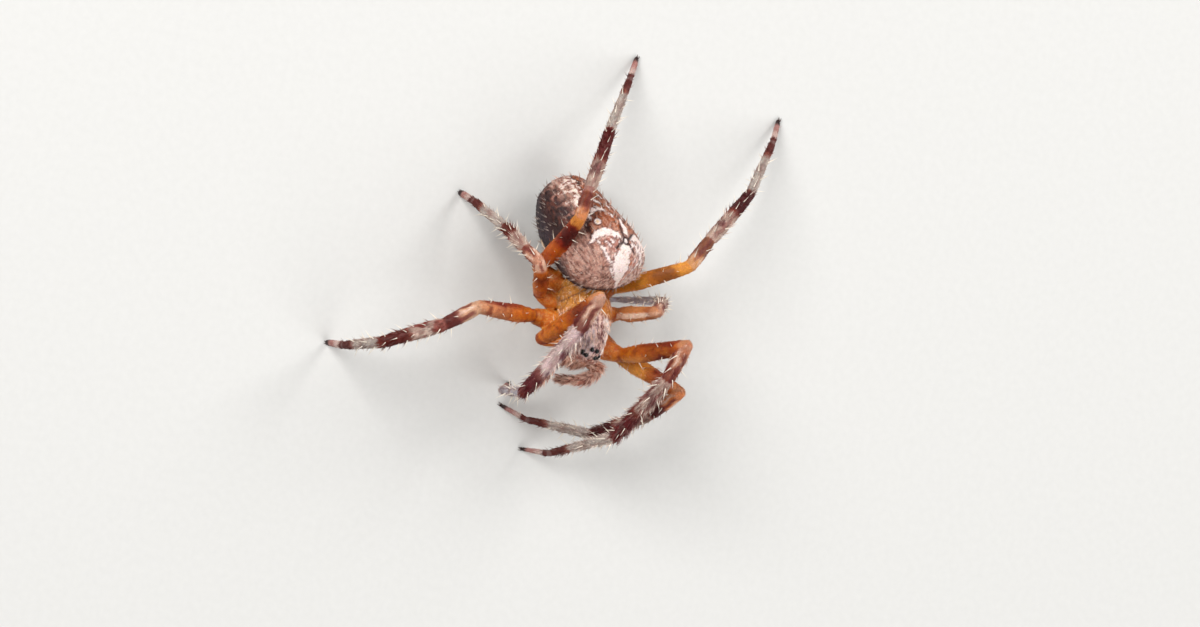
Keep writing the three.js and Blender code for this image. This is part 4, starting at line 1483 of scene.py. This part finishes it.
class SPIDER_OT_claws(bpy.types.Operator):
    """Makes the claws at the end of each tarsus"""
    bl_idname = "spider.claws"
    bl_label = "Claws"

    def execute(self, context):
        parts = []
        for segment in SEGMENTS:
            if segment.kind != "tarsus":
                continue
            level = unit(segment.axis * (1, 1, 0))
            side = np.cross(level, (0, 0, 1))
            tip = segment.end + segment.axis * segment.radii[2] * 0.7
            for sway, size in CLAWS:
                t = np.linspace(0, 1, 8)[:, None]
                line = (tip + side * sway + level * (CLAW_LENGTH * size * t - 0.06)
                        + np.array((0, 0, 1)) * (0.05 + 0.07 * np.sin(np.pi * t * 0.8)
                                                 - 0.14 * t ** 2))
                line[:, 2] = np.maximum(line[:, 2], 0.02)
                radii = CLAW_RADIUS * size * (1 - t[:, 0]) ** 0.7 + 0.006
                parts.append(tube(line, radii, 6))
        mesh = new_mesh("claws", *joined(parts))
        outward(mesh)
        smooth(mesh)
        finished(new_piece("claws", mesh, horn_material()))
        return {"FINISHED"}


# ------------------------------------------------------------------ stage

VIEW_TARGET = np.array((1.4, -2.2, 4.4))
VIEW_DISTANCE = 400.0
VIEW_LENS = 174.0
VIEW_ANGLES = (-93, 68, -105)
FLOOR_HALF_WIDTH = 900.0
# Each lamp's name; how far it stands back, up and right in the view and above all that in
# mm; and its size in m and power in W.
LAMPS = [("key", 320, 150, -100, 0, 0.24, 1.36),
         ("fill", 200, -200, 200, 0, 0.3, 0.65),
         ("rim", 0, 170, 220, 110, 0.16, 0.55)]
LAMP_AIM = Vector((0, 0, 4))


def view_axes(azimuth, elevation, roll):
    """The view's ways right, up and back towards the camera, from angles in degrees."""
    a, e, r = (math.radians(v) for v in (azimuth, elevation, roll))
    back = np.array([math.sin(a) * math.cos(e), -math.cos(a) * math.cos(e), math.sin(e)])
    up = unit(np.array((0, 0, 1)) - back * back[2])
    right = np.cross(up, back)
    return (right * math.cos(r) - up * math.sin(r),
            up * math.cos(r) + right * math.sin(r), back)


def add_lamp(name, place, size, power):
    data = bpy.data.lights.new(name, "AREA")
    data.shape = "DISK"
    data.size = size
    data.energy = power
    lamp = bpy.data.objects.new(name, data)
    bpy.context.scene.collection.objects.link(lamp)
    lamp.location = Vector(place) * MM
    way = Vector(place) - LAMP_AIM
    lamp.rotation_euler = way.to_track_quat("Z", "Y").to_euler()


class SPIDER_OT_stage(bpy.types.Operator):
    """Adds the pale floor, the soft lamps and the camera"""
    bl_idname = "spider.stage"
    bl_label = "Stage"

    def execute(self, context):
        scene = context.scene
        half = FLOOR_HALF_WIDTH
        mesh = new_mesh("floor", [(-half, -half, 0), (half, -half, 0), (half, half, 0),
                                  (-half, half, 0)], [(0, 1, 2, 3)])
        new_piece("floor", mesh, paper_material())
        right, up, back = view_axes(*VIEW_ANGLES)
        data = bpy.data.cameras.new("camera")
        data.lens = VIEW_LENS
        data.sensor_width = 36.0
        data.clip_start = 0.01
        data.clip_end = 20.0
        camera = bpy.data.objects.new("camera", data)
        scene.collection.objects.link(camera)
        matrix = Matrix(np.column_stack([right, up, back]).tolist()).to_4x4()
        matrix.translation = Vector((VIEW_TARGET + back * VIEW_DISTANCE) * MM)
        camera.matrix_world = matrix
        scene.camera = camera
        for name, behind, above, beside, lift, size, power in LAMPS:
            place = back * behind + up * above + right * beside + np.array((0, 0, lift))
            add_lamp(name, place, size, power)
        world = bpy.data.worlds.new("studio")
        world.use_nodes = True
        sky = world.node_tree.nodes["Background"].inputs
        sky["Color"].default_value = (1, 1, 1, 1)
        sky["Strength"].default_value = 0.2
        scene.world = world
        scene.view_settings.view_transform = "Standard"
        return {"FINISHED"}


# ------------------------------------------------------------------ add-on

class SPIDER_PT_panel(bpy.types.Panel):
    bl_label = "Orb weaver spider"
    bl_idname = "SPIDER_PT_panel"
    bl_space_type = "VIEW_3D"
    bl_region_type = "UI"
    bl_category = "Spider"

    def draw(self, context):
        layout = self.layout
        for settings in (context.scene.spider_sizes, context.scene.spider_colours):
            for name in settings.bl_rna.properties.keys():
                if name not in ("rna_type", "name"):
                    layout.prop(settings, name)
        for operator in OPERATORS:
            layout.operator(operator.bl_idname)


OPERATORS = (SPIDER_OT_skin, SPIDER_OT_eyes, SPIDER_OT_fangs, SPIDER_OT_claws,
             SPIDER_OT_spines, SPIDER_OT_leg_coats, SPIDER_OT_face_coat,
             SPIDER_OT_body_coats, SPIDER_OT_stage)
CLASSES = (SpiderSizes, SpiderColours, *OPERATORS, SPIDER_PT_panel)


def register():
    for item in CLASSES:
        bpy.utils.register_class(item)
    bpy.types.Scene.spider_sizes = PointerProperty(type=SpiderSizes)
    bpy.types.Scene.spider_colours = PointerProperty(type=SpiderColours)


def unregister():
    del bpy.types.Scene.spider_sizes
    del bpy.types.Scene.spider_colours
    for item in reversed(CLASSES):
        bpy.utils.unregister_class(item)


def main():
    register()
    bpy.ops.spider.skin()
    bpy.ops.spider.eyes()
    bpy.ops.spider.fangs()
    bpy.ops.spider.claws()
    bpy.ops.spider.spines()
    bpy.ops.spider.leg_coats()
    bpy.ops.spider.face_coat()
    bpy.ops.spider.body_coats()
    bpy.ops.spider.stage()


if __name__ == "__main__":
    main()
